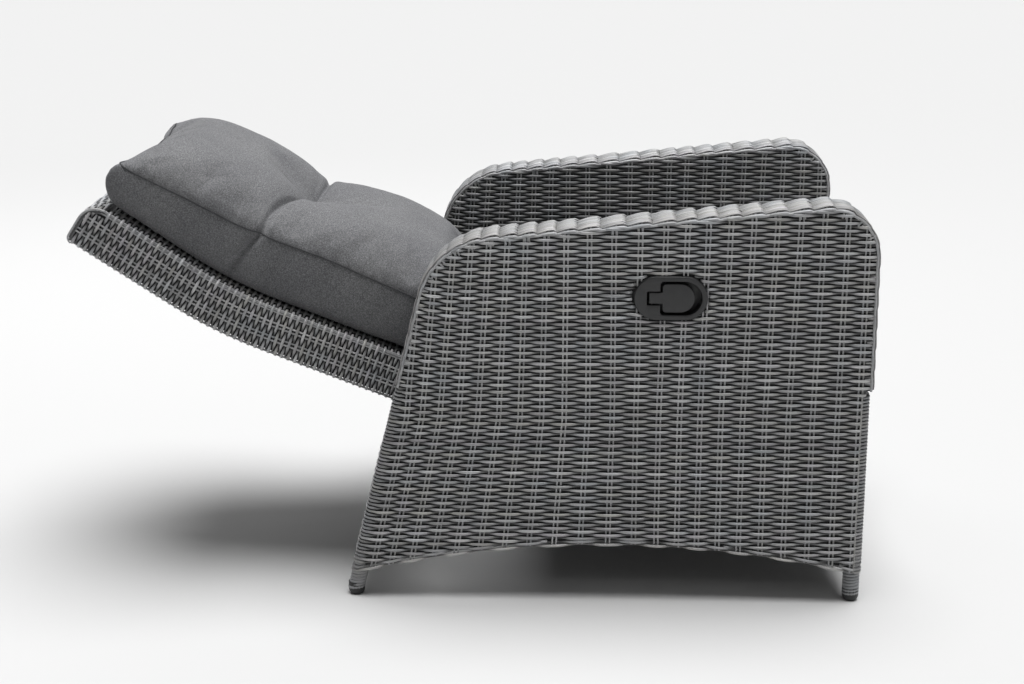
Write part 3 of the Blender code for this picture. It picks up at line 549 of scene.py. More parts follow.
def face_panel(name, side, outer):
    """Plain weave on one flat face of an arm."""
    S = Strands(name)
    x = side * (OUT_X if outer else IN_X)
    nx = side if outer else -side
    low = STRIP_Z if not outer else 0.0
    poly = offset_path(OUTLINE, 0.0042)
    if outer:
        ys = np.linspace(rear_y(0.06) + 0.002, SKIRT_Y - 0.002, 30)
        poly = np.concatenate([poly, [[rear_y(STRIP_Z) - 0.004, STRIP_Z]], [[rear_y(0.0) - 0.0075, 0.0], [SKIRT_Y + 0.0050, 0.0], [SKIRT_Y + 0.0050, STRIP_Z]]])
    else:
        poly = np.concatenate([poly, [[rear_y(0.362) - 0.005, 0.362], [FRONT_Y + 0.004, 0.362]]])
    z0 = 0.066 if outer else 0.366
    levels = [(0.0022, True), (0.0078, True)] if outer else []
    levels += [(z0 + PITCH * k, False) for k in range(int((0.69 - z0) / PITCH))]
    t = np.arange(-2.0, len(STAKE_LOW) + 1.5, STEP_T)
    r = LEG_R + 0.0026
    for k, (zk, border) in enumerate(levels):
        y = stake_y(t, 0.08 if border else zk)
        for _ in range(3):
            z = arch_z(y) + zk if border else row_z(zk, y)
            y = stake_y(t, z)
        ok = inside(poly, y, z)
        if outer and not border:
            ok &= z > arch_z(y) + 0.0092
        if outer and side < 0:
            du, dw = np.abs(y + 0.1548), np.abs(z - 0.531)
            e = np.hypot(np.maximum(0, du - 0.0228), dw)
            ok &= ~(e < 0.0350)
            # the rows just above and below the bezel are pressed away from it
            push = np.clip(1 - (e - 0.0350) / 0.012, 0, 1) * (dw > 0.018) * 0.0018
            z = z + np.sign(z - 0.531) * push
        for a, b in pieces(ok):
            if b - a < 3:
                continue
            yy, zz, tt = y[a:b], z[a:b], t[a:b]
            out = plain(tt, k % 2)
            wide, shade = spindle(out)
            n = len(yy)
            legs = outer and zz[0] < STRIP_Z - 0.003 and zz[-1] < STRIP_Z - 0.003
            cy = REAR_LEG_Y0 - TILT * zz[0]
            at_rear = legs and abs(yy[0] - cy) < 0.014
            at_front = legs and abs(yy[-1] - FRONT_LEG_Y) < 0.014
            for wraps, e in ((at_rear, np.arange(n)), (at_front, np.arange(n)[::-1])):
                fade = np.clip(e / 3.0, 0, 1)
                out = out * (0.4 + 0.6 * fade) if wraps else np.minimum(out, -0.0014 + fade * 0.02)
            P = np.stack([np.full(n, x) + nx * out, yy + SHIFT, zz + rng.normal(0, 0.00018)], 1)
            N = np.zeros((n, 3))
            N[:, 0] = nx
            keep = np.ones(n, bool)
            if at_rear:
                keep &= P[:, 1] < cy + SHIFT - 0.002
            if at_front:
                keep &= P[:, 1] > FRONT_LEG_Y + SHIFT + 0.002
            P, N, wide, shade = P[keep], N[keep], wide[keep], shade[keep]
            # round the legs, then in behind them; the turn carries painted shade
            if at_rear:
                pr, nr = corner(side * LEG_X, cy, r, side, 1)
                Pr = np.stack([pr[:, 0], pr[:, 1] + SHIFT, np.full(len(pr), zz[0])], 1)
                tail = np.array([[side * (LEG_X - 0.014), Pr[-1, 1] - 0.001, zz[0]]])
                P = np.concatenate([tail, Pr[::-1], P])
                wide, shade = (np.concatenate([np.full(len(pr) + 1, v), q]) for v, q in ((0.95, wide), (0.8, shade)))
                N = np.concatenate([[[0, 1, 0]], np.concatenate([nr, np.zeros((len(nr), 1))], 1)[::-1], N])
            if at_front:
                pf, nf = corner(side * LEG_X, FRONT_LEG_Y, r, side, -1)
                Pf = np.stack([pf[:, 0], pf[:, 1] + SHIFT, np.full(len(pf), zz[-1])], 1)
                tail = np.array([[side * (LEG_X - 0.014), Pf[-1, 1] + 0.001, zz[-1]]])
                P = np.concatenate([P, Pf, tail])
                wide, shade = (np.concatenate([q, np.full(len(pf) + 1, v)]) for v, q in ((0.95, wide), (0.8, shade)))
                N = np.concatenate([N, np.concatenate([nf, np.zeros((len(nf), 1))], 1), [[0, -1, 0]]])
            S.add(P, N, wide * W_HALF * (0.95 if border else 1 + rng.normal(0, 0.03)), H_HALF, shade=shade)
    ob = S.build("base")
    # the stakes: pairs of thin strands
    K = Strands(name + "_stakes", 6)
    for i in range(len(STAKE_LOW)):
        for d in (-1, 1):
            zz = np.arange(0.050 if outer else 0.362, 0.700, 0.004)
            yy = stake_y(np.full(len(zz), float(i)), zz) + d * S_GAP
            ok = inside(offset_path_poly(poly, outer), yy, zz) & (zz > (arch_z(yy) + 0.001 if outer else 0))
            if outer and side < 0:
                e = np.hypot(np.maximum(0, np.abs(yy + 0.1548) - 0.0228), np.abs(zz - 0.531))
                ok &= ~(e < 0.0350)
            for a, b in pieces(ok):
                if b - a < 2:
                    continue
                n = b - a
                wob = 0.0003 * np.sin(zz[a:b] / PITCH * np.pi + i * np.pi)
                P = np.stack([np.full(n, x) + nx * (0.0002 + wob), yy[a:b] + SHIFT, zz[a:b]], 1)
                N = np.zeros((n, 3))
                N[:, 0] = nx
                K.add(P, N, S_HALF, S_THICK, new_tone(0.06))
    K.build("base")
    return ob


def offset_path_poly(poly, outer):
    return poly


def strip_stations(path, s):
    """Stake coordinate along the perimeter strip: the face's stakes on top, even spacing elsewhere."""
    marks = []
    for i, y in enumerate(STAKE_TOP):
        if -0.425 < y < 0.165:
            j = int(np.argmin(np.abs(path[:, 0] - y) + 10 * (path[:, 1] < 0.56)))
            marks.append(s[j])
    marks = sorted(marks)
    lead = marks[0]
    n = int(round(lead / 0.034))
    front = [lead * (k + 0.5) / (n + 0.5) for k in range(n)]
    tail = s[-1] - marks[-1]
    n2 = int(round(tail / 0.033))
    rear = [marks[-1] + tail * (k + 1) / (n2 + 0.5) for k in range(n2)]
    return np.array(front + marks + rear)


def strip_panel(name, side):
    """The band woven lengthwise over the arm's front, top and rear."""
    path, s = resample(offset_path(OUTLINE, 0.0022), step=0.0045)
    tan = np.gradient(path, axis=0)
    tan /= np.linalg.norm(tan, axis=1)[:, None]
    nrm = np.stack([-tan[:, 1], tan[:, 0]], 1)
    marks = strip_stations(path, s)
    t = np.interp(s, marks, np.arange(len(marks)))
    t[s < marks[0]] = (s[s < marks[0]] - marks[0]) / 0.034
    late = s > marks[-1]
    t[late] = len(marks) - 1 + (s[late] - marks[-1]) / 0.034
    S = Strands(name)
    xs = np.linspace(IN_X + 0.0035, OUT_X - 0.0035, 13)
    rows = [(x, 0.0, 0.0) for x in xs]
    # border strands on the two rounded edges
    rows += [(OUT_X - 0.0002, 0.0030, 0.75), (IN_X + 0.0002, 0.0030, -0.75)]
    f = np.linspace(0, 1, 13)
    lift = -0.0012 + 0.0048 * smooth(f / 0.7) - 0.0055 * smooth((f - 0.86) / 0.14)
    for k, (x, drop, lean) in enumerate(rows):
        edge = lean != 0
        # the strip is set lighter than the faces: a painted highlight for its top under the overhead light
        base_tone = new_tone(0.10)
        for i in range(-1, len(marks) + 1):
            # one float over each stake pair, its front end lapped over the next
            tt = i + 0.66 - 1.20 * f + rng.normal(0, 0.025)
            ok = (tt > t[0] + 0.02) & (tt < t[-1] - 0.02)
            if ok.sum() < 5:
                continue
            q = np.interp(tt[ok], t, s)
            n = len(q)
            py, pz = np.interp(q, s, path[:, 0]), np.interp(q, s, path[:, 1])
            ny, nz = np.interp(q, s, nrm[:, 0]), np.interp(q, s, nrm[:, 1])
            N = np.stack([np.full(n, side * math.sin(lean)), ny * math.cos(lean), nz * math.cos(lean)], 1)
            P = np.stack([np.full(n, side * (x + rng.normal(0, 0.0002))), py - ny * drop + SHIFT, pz - nz * drop], 1)
            # drawn tight and flat on the front and the rear, fuller on top
            flat = float(smooth((abs(ny[n // 2]) - 0.15) / 0.35))
            P += N * (lift[ok] * (0.75 if edge else 1.0) * (1 - 0.72 * flat))[:, None]
            # painted shade: darker on the front and rear, away from the overhead light, and darker where each float
            # dips below its lump
            tone = (base_tone[0] + rng.normal(0, 0.05) - 0.10 * flat, base_tone[1], rng.random())
            S.add(P, N, 0.00275, 0.0014, tone, shade=0.55 + 0.55 * smooth((lift[ok] + 0.0015) / 0.0045))
    # a pale lacing strand just inside the edge on each face
    lace, sl = resample(offset_path(OUTLINE, 0.0058), step=0.0040)
    tl = np.interp(sl / sl[-1], s / s[-1], t)
    for face, nx in ((OUT_X, 1), (IN_X, -1)):
        n = len(lace)
        P = np.stack([np.full(n, side * face) + side * nx * (0.0006 - 0.0013 * np.cos(2 * np.pi * tl)), lace[:, 0] + SHIFT, lace[:, 1]], 1)
        N = np.zeros((n, 3))
        N[:, 0] = side * nx
        S.add(P, N, 0.0021, 0.0012, new_tone(0.14))
    # transverse stake pairs, turned over the edges on to the faces
    for i, mk in enumerate(marks):
        for d in (-1, 1):
            sk = mk + d * S_GAP
            if sk < 0.002 or sk > s[-1] - 0.002:
                continue
            py, pz = np.interp(sk, s, path[:, 0]), np.interp(sk, s, path[:, 1])
            ny, nz = np.interp(sk, s, nrm[:, 0]), np.interp(sk, s, nrm[:, 1])
            xx = np.linspace(IN_X + 0.004, OUT_X - 0.004, 27)
            a = np.radians([0, 30, 60, 90])
            r = 0.0040
            px = np.concatenate([[IN_X] * 2, IN_X + r - r * np.cos(a), xx[1:-1], OUT_X - r + r * np.cos(a[::-1]), [OUT_X] * 2])
            dn = np.concatenate([[0.014, 0.008], r - r * np.sin(a), np.zeros(len(xx) - 2), r - r * np.sin(a[::-1]), [0.008, 0.014]])
            lean = np.concatenate([[-1.0] * 2, -np.cos(a), np.zeros(len(xx) - 2), np.cos(a[::-1]), [1.0] * 2])
            N = np.stack([side * lean, ny * (1 - np.abs(lean)) + 0 * lean, nz * (1 - np.abs(lean))], 1)
            P = np.stack([side * px, py - ny * dn + SHIFT, pz - nz * dn], 1)
            P[:, 0] += side * np.sign(lean) * (np.abs(lean) > 0.9) * 0.0006
            S.add(P, N, S_HALF, S_THICK, new_tone(0.10))
    return S.build("base")


def backing_sheet(name, ring, side_n, thick, body):
    """A thin liner behind the strands, from an outline of 3D points, near-black as painted shade."""
    bm = bmesh.new()
    a = [bm.verts.new(p) for p in ring]
    b = [bm.verts.new(Vector(p) + Vector(side_n) * thick) for p in ring]
    bm.faces.new(a)
    bm.faces.new(b[::-1])
    n = len(ring)
    for i in range(n):
        bm.faces.new((a[i], b[i], b[(i + 1) % n], a[(i + 1) % n]))
    bmesh.ops.recalc_face_normals(bm, faces=bm.faces)
    me = bpy.data.meshes.new(name)
    bm.to_mesh(me)
    bm.free()
    ob = bpy.data.objects.new(name, me)
    bpy.context.scene.collection.objects.link(ob)
    me.materials.append(SHADE_BACKING)
    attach(ob, body)
    return ob


def arm_lining(name, side):
    """Liner of one arm, near-black as painted shade: outer sheet, strip and inner sheet as a closed shell."""
    path = offset_path(OUTLINE, 0.0062)
    bm = bmesh.new()
    xo, xi = side * (OUT_X - 0.0045), side * (IN_X + 0.0045)
    low = [(rear_y(0.075) - 0.018, 0.075 + 0.0)]
    ys = np.linspace(rear_y(0.075) - 0.024, SKIRT_Y + 0.016, 24)
    low += [(y, arch_z(y) + 0.006) for y in ys]
    po = [(y, z) for y, z in path] + [(rear_y(STRIP_Z) - 0.018, STRIP_Z - 0.002)] + low + [(FRONT_LEG_Y - 0.001, 0.2), (FRONT_LEG_Y - 0.001, STRIP_Z - 0.002)]
    vo = [bm.verts.new((xo, y + SHIFT, z)) for y, z in po]
    f0 = bm.faces.new(vo)
    pi = [(y, z) for y, z in path] + [(rear_y(0.366) - 0.008, 0.366), (FRONT_Y + 0.007, 0.366)]
    vi = [bm.verts.new((xi, y + SHIFT, z)) for y, z in pi]
    bm.faces.new(vi[::-1])
    for k in range(len(path) - 1):
        bm.faces.new((vo[k + 1], vo[k], vi[k], vi[k + 1]))
    bmesh.ops.recalc_face_normals(bm, faces=bm.faces)
    me = bpy.data.meshes.new(name)
    bm.to_mesh(me)
    bm.free()
    ob = bpy.data.objects.new(name, me)
    bpy.context.scene.collection.objects.link(ob)
    if side < 0:
        # the opening for the handle
        cu = [(-0.1548 + u, 0.531 + w) for u, w in [(0.0228 * sg + 0.0355 * math.cos(a), 0.0355 * math.sin(a))
              for sg, rng_a in ((1, np.linspace(-math.pi / 2, math.pi / 2, 13)), (-1, np.linspace(math.pi / 2, 1.5 * math.pi, 13))) for a in rng_a]]
        cbm = bmesh.new()
        c0 = [cbm.verts.new((-0.36, y + SHIFT, z)) for y, z in cu]
        c1 = [cbm.verts.new((-0.33, y + SHIFT, z)) for y, z in cu]
        cbm.faces.new(c0)
        cbm.faces.new(c1[::-1])
        for i in range(len(cu)):
            j = (i + 1) % len(cu)
            cbm.faces.new((c0[j], c0[i], c1[i], c1[j]))
        bmesh.ops.recalc_face_normals(cbm, faces=cbm.faces)
        cme = bpy.data.meshes.new("cutter")
        cbm.to_mesh(cme)
        cbm.free()
        cut = bpy.data.objects.new("cutter", cme)
        bpy.context.scene.collection.objects.link(cut)
    so = ob.modifiers.new("thick", "SOLIDIFY")
    so.thickness = 0.0012
    so.offset = 0
    if side < 0:
        bo = ob.modifiers.new("cut", "BOOLEAN")
        bo.operation, bo.solver, bo.object = "DIFFERENCE", "EXACT", cut
    me2 = bpy.data.meshes.new_from_object(ob.evaluated_get(bpy.context.evaluated_depsgraph_get()))
    ob.modifiers.clear()
    ob.data = me2
    if side < 0:
        bpy.data.objects.remove(cut, do_unlink=True)
    me2.materials.clear()
    me2.materials.append(SHADE_BACKING)
    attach(ob, "base")
    return ob


for label, side in (("right", -1), ("left", 1)):
    skin = face_panel(label + "_arm_outer_weave", side, True)
    face_panel(label + "_arm_inner_weave", side, False)
    strip_panel(label + "_arm_strip_weave", side)
    arm_lining(label + "_arm_liner", side)
    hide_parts(label + "_arm_skin")


# ---------------------------------------------------- leg wraps and aprons
def leg_wraps():
    S = Strands("leg_wraps", 6)
    for side in (-1, 1):
        for rear in (False, True):
            z0, z1 = 0.0225, 0.100 if not rear else 0.098
            n_turn = int((z1 - z0) / 0.0053)
            a = np.linspace(0, 2 * np.pi * n_turn, 16 * n_turn)
            z = z0 + (z1 - z0) * a / a[-1]
            cy = (REAR_LEG_Y0 - TILT * z) if rear else np.full(len(z), FRONT_LEG_Y)
            r = LEG_R + 0.0011
            P = np.stack([side * LEG_X + r * np.cos(a), cy + r * np.sin(a) + SHIFT, z], 1)
            N = np.stack([np.cos(a), np.sin(a), np.zeros(len(a))], 1)
            S.add(P, N, 0.0027, 0.0012, new_tone(-0.03))
    return S.build("base")


leg_wraps()


def apron_panel(name, rear):
    """Weave between two legs, arched along its lower edge."""
    S = Strands(name)
    half = LEG_X - 0.006
    z_top = 0.3745 if not rear else 0.268
    z_mid = 0.1105 if not rear else 0.1075
    n_st = 18
    pitch = 2 * half / n_st
    t = np.arange(0.0, n_st + 1e-6, STEP_T)
    xs = -half + t * pitch
    rows = int((z_top - z_mid) / PITCH) + 1
    ny = 1 if rear else -1

    def y_at(z):
        return (REAR_LEG_Y0 - TILT * z + 0.0140) if rear else np.full_like(z, FRONT_LEG_Y - 0.0140)
    for k in range(rows):
        zk = z_mid + PITCH * k
        a = 1 - smooth((zk - z_mid) / (z_top - z_mid) * 1.1)
        z = zk - a * 0.0400 * (xs / half) ** 2
        out = plain(t, k % 2)
        e = np.minimum(np.arange(len(t)), np.arange(len(t))[::-1])
        out = out * np.clip(e / 4.0, 0, 1)
        P = np.stack([xs, y_at(z) + SHIFT + ny * out, z + rng.normal(0, 0.00015)], 1)
        N = np.tile([0, ny, 0.24 if rear else 0.0], (len(t), 1))
        S.add(P, N, W_HALF, H_HALF)
    for i in range(1, n_st):
        for d in (-1, 1):
            x = -half + i * pitch + d * S_GAP
            z = np.linspace(z_mid + 0.002 - 0.040 * (x / half) ** 2, z_top + 0.001, 40)
            P = np.stack([np.full(len(z), x), y_at(z) + SHIFT, z], 1)
            N = np.tile([0, ny, 0.0], (len(z), 1))
            S.add(P, N, S_HALF, S_THICK, new_tone(0.06))
    # rolled strand along the top edge
    for dz in (0.0, 0.0045):
        z = np.full(len(t), z_top + 0.003 + dz - 0.0035)
        P = np.stack([xs, y_at(z) + SHIFT + ny * (0.0006 + plain(t, 1 if dz else 0, 0.0012)), z], 1)
        S.add(P, np.tile([0, ny, 0.6], (len(t), 1)), 0.0028, 0.0014, new_tone(0.04))
    ob = S.build("base")
    ring = []
    zz = z_top
    for x, z in [(-half, zz), (half, zz)] + [(x, z_mid + 0.004 - 0.040 * (x / half) ** 2) for x in np.linspace(half, -half, 24)]:
        y = (REAR_LEG_Y0 - TILT * z + 0.0095) if rear else FRONT_LEG_Y - 0.0100
        ring.append((x, y + SHIFT, z))
    backing_sheet(name + "_liner", ring, (0, -ny * 1.0, 0), 0.0010, "base")
    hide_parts("rear_apron" if rear else "front_apron")
    return ob


apron_panel("front_apron_weave", False)
apron_panel("rear_apron_weave", True)


# -------------------------------------------------------------- seat deck
def deck_panel():
    lo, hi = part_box("seat_deck")
    S = Strands("seat_deck_weave")
    z = (lo[2] + hi[2]) / 2 + 0.0005 + DROP
    y0, y1 = lo[1] + 0.004, hi[1] - 0.004
    n_st = 15
    x0, x1 = lo[0] + 0.002, hi[0] - 0.002
    pitch = (x1 - x0) / n_st
    t = np.arange(0, n_st + 1e-6, 1 / 5.0)
    xs = x0 + t * pitch
    rows = int((y1 - y0) / 0.0072)
    for k in range(rows):
        y = y0 + (y1 - y0) * (k + 0.5) / rows
        P = np.stack([xs, np.full(len(t), y), z + plain(t, k % 2, 0.0017)], 1)
        S.add(P, np.tile([0, 0, 1], (len(t), 1)), 0.0031, 0.0012, new_tone(-0.05))
    for i in range(n_st + 1):
        for d in (-1, 1):
            yy = np.linspace(y0, y1, 30)
            P = np.stack([np.full(30, x0 + i * pitch + d * S_GAP), yy, np.full(30, z)], 1)
            S.add(P, np.tile([0, 0, 1], (30, 1)), S_HALF, S_THICK, new_tone(0))
    ob = S.build("base")
    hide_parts("seat_deck")
    backing_sheet("seat_deck_liner", [(x0, y0, lo[2] + 0.0008 + DROP), (x1, y0, lo[2] + 0.0008 + DROP), (x1, y1, lo[2] + 0.0008 + DROP), (x0, y1, lo[2] + 0.0008 + DROP)], (0, 0, 1), 0.0010, "base")


deck_panel()

# ---------------------------------------------------------------- the back
PIV = (0.210, 0.332)
BACK_HALF, BACK_T, S1, BR, BEND = 0.2525, 0.0395, 0.320, 0.759, 0.684
END_R_FRONT, END_R_REAR = 0.034, 0.010
A0, A1 = math.radians(21.0), math.radians(33.2)


def back_frame(s):
    """Centre line point and the direction towards the sitter, in (y, z)."""
    s = np.asarray(s, float)
    d0 = np.array([math.cos(A0), math.sin(A0)])
    n0 = np.array([-math.sin(A0), math.cos(A0)])
    a = np.clip(A0 + (s - S1) / BR, A0, A1)
    extra = np.clip(s - S1 - (A1 - A0) * BR, 0, None)
    straight = np.minimum(s, S1)
    c = np.array(PIV) + d0 * S1 + n0 * BR
    n = np.stack([-np.sin(a), np.cos(a)], -1)
    d = np.stack([np.cos(a), np.sin(a)], -1)
    p = np.where((s <= S1)[..., None], np.array(PIV) + d0 * straight[..., None], c - n * BR + d * extra[..., None])
    return p, n, d


def back_pt(x, s, t):
    """3D point of the back at width x, length s, and height t over the middle."""
    p, n, d = back_frame(s)
    q = p + n * np.asarray(t, float)[..., None]
    return np.stack([np.broadcast_to(x, q[..., 0].shape), q[..., 0] + SHIFT, q[..., 1]], -1)


def back_dir(s, nx, nt):
    p, n, d = back_frame(s)
    return np.stack([np.broadcast_to(nx, n[..., 0].shape), n[..., 0] * nt, n[..., 1] * nt], -1)


def back_section():
    """Ring round the back: (x, t, normal x, normal t, stake coordinate)."""
    hw, ht, r = BACK_HALF - 0.0015, BACK_T - 0.0010, 0.0085
    pts = []
    segs = [("rear", (-hw + r, -ht), (hw - r, -ht), (0, -1), 13.0),
            ("side", (hw, -ht + r), (hw, ht - r), (1, 0), 3.0),
            ("front", (hw - r, ht), (-hw + r, ht), (0, 1), 13.0),
            ("side", (-hw, ht - r), (-hw, -ht + r), (-1, 0), 3.0)]
    out = []
    t0 = 0.0
    centres = [(hw - r, -ht + r), (hw - r, ht - r), (-hw + r, ht - r), (-hw + r, -ht + r)]
    for q, (nm, a, b, nr, ns) in enumerate(segs):
        n = int(ns / STEP_T)
        k = np.linspace(0, 1, n + 1)
        for v in k:
            out.append((a[0] + (b[0] - a[0]) * v, a[1] + (b[1] - a[1]) * v, nr[0], nr[1], t0 + v * (ns - 0.5) + 0.25))
        c = centres[q]
        nn = segs[(q + 1) % 4][3]
        for f in (0.33, 0.66):
            v = Vector((nr[0] * (1 - f) + nn[0] * f, nr[1] * (1 - f) + nn[1] * f)).normalized()
            out.append((c[0] + v.x * r, c[1] + v.y * r, v.x, v.y, t0 + ns - 0.25 + 0.5 * f))
        t0 += ns
    return np.array(out)


SEC = back_section()


def end_s(t):
    """Where the back ends, along its length, at height t: rounded over at both edges."""
    t = np.asarray(t, float)
    ht = BACK_T - 0.0010
    a = np.clip((t - (ht - END_R_FRONT)) / END_R_FRONT, 0, 0.999)
    b = np.clip((-ht + END_R_REAR - t) / END_R_REAR, 0, 0.999)
    return BEND - 0.0015 - END_R_FRONT * (1 - np.sqrt(1 - a * a)) - END_R_REAR * (1 - np.sqrt(1 - b * b))


def end_profile(step):
    """Evenly spaced points over the rounded end, rear edge to front edge."""
    ht = BACK_T - 0.0010
    tt = np.concatenate([-ht + END_R_REAR * (1 - np.cos(np.linspace(0, np.pi / 2, 30))),
                         np.linspace(-ht + END_R_REAR, ht - END_R_FRONT, 40)[1:],
                         ht - END_R_FRONT + END_R_FRONT * np.sin(np.linspace(0, np.pi / 2, 60))[1:]])
    tt = np.clip(tt, -ht + 1e-5, ht - 1e-5)
    p, _ = resample(np.stack([end_s(tt), tt], 1), step=step)
    g = np.gradient(p, axis=0)
    g /= np.linalg.norm(g, axis=1)[:, None]
    return p, np.stack([g[:, 1], -g[:, 0]], 1)


def back_rows():
    s_all = np.arange(-0.007, BEND - 0.010, 0.00585)
    half = len(s_all) // 2
    first = None
    corners = np.array([0.0, 13.0, 16.0, 29.0, 32.0])
    for name, part in (("back_lower_weave", range(0, half)), ("back_upper_weave", range(half, len(s_all)))):
        S = Strands(name)
        for k in part:
            s = np.full(len(SEC), s_all[k])
            x, t, nx, ntt, tc = SEC.T
            out = plain(tc, k % 2)
            d = np.abs(tc[:, None] - corners[None, :]).min(1)
            out = out * (1 - 0.65 * np.exp(-(d / 0.35) ** 2))
            if s_all[k] < 0.12:
                # pressed flat on the sides, where the hinge bolts pass close by
                out = np.where(np.abs(nx) > 0.3, np.minimum(out, -0.0005), out)
            # the hinge pins and the open lower end need the first rows flat
            if s_all[k] < 0.014:
                out = np.minimum(out, 0.0006)
            s_jit = s + rng.normal(0, 0.00012)
            P = back_pt(x + nx * out, s_jit, t + ntt * out)
            N = back_dir(s, nx, ntt)
            wide, shade = spindle(plain(tc, k % 2))
            w = 1.06 * W_HALF * wide
            tone = new_tone(-0.07)
            if s_all[k] < 0.014:
                # only the rear run: the front stays open for the lower tube
                sel = (t < -0.012)
                idx = np.where(sel)[0]
                order = np.argsort(x[idx] * 1.0 + (t[idx] + BACK_T) * np.sign(x[idx]))
                S.add(P[idx][order], N[idx][order], w[idx][order], H_HALF, tone, shade=shade[idx][order])
            elif s_all[k] > BEND - END_R_FRONT - 0.004:
                # open towards the rounded front edge: rear and sides only
                sel = end_s(t) > s_all[k] + 0.0035
                sel[(t > BACK_T - 0.012)] = False
                idx = np.where(sel)[0]
                gap = np.where(np.diff(idx) > 1)[0]
                order = np.concatenate([idx[gap[0] + 1:], idx[:gap[0] + 1]]) if len(gap) else idx
                S.add(P[order], N[order], w[order], H_HALF, tone, shade=shade[order])
            else:
                S.add(P, N, w, H_HALF, tone, closed=True, shade=shade)
        ob = S.build("back")
        if first is None:
            first = ob
    # stakes along the back
    K = Strands("back_stakes")
    tc = SEC[:, 4]
    for st in np.arange(1.0, 32.0, 1.0):
        j = np.interp(st, tc, np.arange(len(tc)))
        x, t, nx, ntt = (np.interp(j, np.arange(len(tc)), SEC[:, q]) for q in range(4))
        for d in (-1, 1):
            top = float(end_s(np.array(t))) - 0.006
            ss = np.linspace(-0.004 if t < 0 else 0.014, top, 60)
            dx, dt = -ntt * d * S_GAP, nx * d * S_GAP
            K.add(back_pt(np.full(60, x + dx), ss, np.full(60, t + dt)), back_dir(ss, nx, ntt), S_HALF, S_THICK, new_tone(0.06))
    # a strand along each of the four long edges fills the turn of the rows; it is set dark as painted shade in the turn
    for sx in (-1, 1):
        for tq, s_end in ((-BACK_T + 0.0036, BEND - 0.012), (BACK_T - 0.0036, BEND - 0.030)):
            ss = np.linspace(0.016, s_end, 70)
            N = back_dir(ss, sx * 0.7, math.copysign(0.7, tq))
            K.add(back_pt(np.full(70, sx * (BACK_HALF - 0.0036)), ss, np.full(70, tq)), N, 0.0030, 0.0012, (0.22, 0.3, 0.5))
    K.build("back")
    # the end: rows along the width that follow its rounded profile
    E = Strands("back_end_weave")
    n_st = 13
    tt = np.arange(0, n_st + 1e-6, STEP_T)
    prof, turn = end_profile(0.0058)
    p_, nb, db = back_frame(prof[:, 0])
    for k, ((s_k, t_k), (ns_, nt_)) in enumerate(zip(prof[1:-1], turn[1:-1])):
        hw = BACK_HALF - 0.0035
        xs = hw * (2 * tt / n_st - 1)
        out = plain(tt, k % 2, 0.0021)
        e = np.minimum(np.arange(len(tt)), np.arange(len(tt))[::-1])
        out = out * (0.2 + 0.8 * np.clip(e / 3, 0, 1)) - 0.0022 * np.clip(1 - e / 1.5, 0, 1)
        p1, n1, d1 = back_frame(np.array(s_k))
        D = np.array([0.0, d1[0] * ns_ + n1[0] * nt_, d1[1] * ns_ + n1[1] * nt_])
        P = back_pt(xs, np.full(len(tt), s_k), np.full(len(tt), t_k))
        wide, shade = spindle(out, 0.0021)
        E.add(P + D * out[:, None], np.tile(D, (len(tt), 1)), 1.12 * W_HALF * wide, H_HALF, new_tone(0.03), shade=shade)
    # stakes over the end, and a border strand along each edge of it, with a dark strand sunk under each border as
    # painted shade
    fine, ft = end_profile(0.003)
    p1, n1, d1 = back_frame(fine[:, 0])
    D = np.stack([np.zeros(len(fine)), d1[:, 0] * ft[:, 0] + n1[:, 0] * ft[:, 1], d1[:, 1] * ft[:, 0] + n1[:, 1] * ft[:, 1]], 1)
    for i in range(1, n_st):
        for dx in (-1, 1):
            x = (BACK_HALF - 0.0035) * (2 * i / n_st - 1) + dx * S_GAP
            E.add(back_pt(np.full(len(fine), x), fine[:, 0], fine[:, 1]), D, S_HALF, S_THICK, new_tone(0.06))
    for sx in (-1, 1):
        P = back_pt(np.full(len(fine), sx * (BACK_HALF - 0.0016)), fine[:, 0], fine[:, 1]) + D * 0.0004
        E.add(P, D * 0.7 + np.array([sx * 0.7, 0, 0]), 0.0021, 0.0014, new_tone(0.0))
        P = back_pt(np.full(len(fine), sx * (BACK_HALF - 0.0046)), fine[:, 0], fine[:, 1]) - D * 0.0040
        E.add(P, D * 0.7 + np.array([sx * 0.7, 0, 0]), 0.0046, 0.0016, (0.16, 0.3, 0.5))
    E.build("back")
    return first


skin = back_rows()
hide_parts("back_skin")


def back_liner():
    # a near-black liner inside the back's weave, as painted shade
    bm = bmesh.new()
    ins_ = 0.0040
    ss = np.concatenate([np.linspace(0.012, BEND - 0.0055, 44)])
    rings = []
    step = SEC[::5]
    for s in ss:
        x, t, nx, ntt = step[:, 0], step[:, 1], step[:, 2], step[:, 3]
        P = back_pt(x - nx * ins_, np.minimum(s, end_s(t) - 0.0042), t - ntt * ins_)
        rings.append([bm.verts.new(p) for p in P])
    n = len(rings[0])
    for a, b in zip(rings, rings[1:]):
        for i in range(n):
            j = (i + 1) % n
            bm.faces.new((a[i], a[j], b[j], b[i]))
    bm.faces.new(rings[-1])
    bmesh.ops.recalc_face_normals(bm, faces=bm.faces)
    me = bpy.data.meshes.new("back_liner")
    bm.to_mesh(me)
    bm.free()
    ob = bpy.data.objects.new("back_liner", me)
    bpy.context.scene.collection.objects.link(ob)
    so = ob.modifiers.new("thick", "SOLIDIFY")
    so.thickness, so.offset = 0.001, -1
    me2 = bpy.data.meshes.new_from_object(ob.evaluated_get(bpy.context.evaluated_depsgraph_get()))
    ob.modifiers.clear()
    ob.data = me2
    me2.materials.clear()
    me2.materials.append(SHADE_BACKING)
    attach(ob, "back")


back_liner()


# ---------------------------------------------------------------- cushions
def mesh_from(name, V, F):
    me = bpy.data.meshes.new(name)
    me.from_pydata([tuple(v) for v in V], [], [tuple(f) for f in F])
    me.update()
    ob = bpy.data.objects.new(name, me)
    bpy.context.scene.collection.objects.link(ob)
    return ob


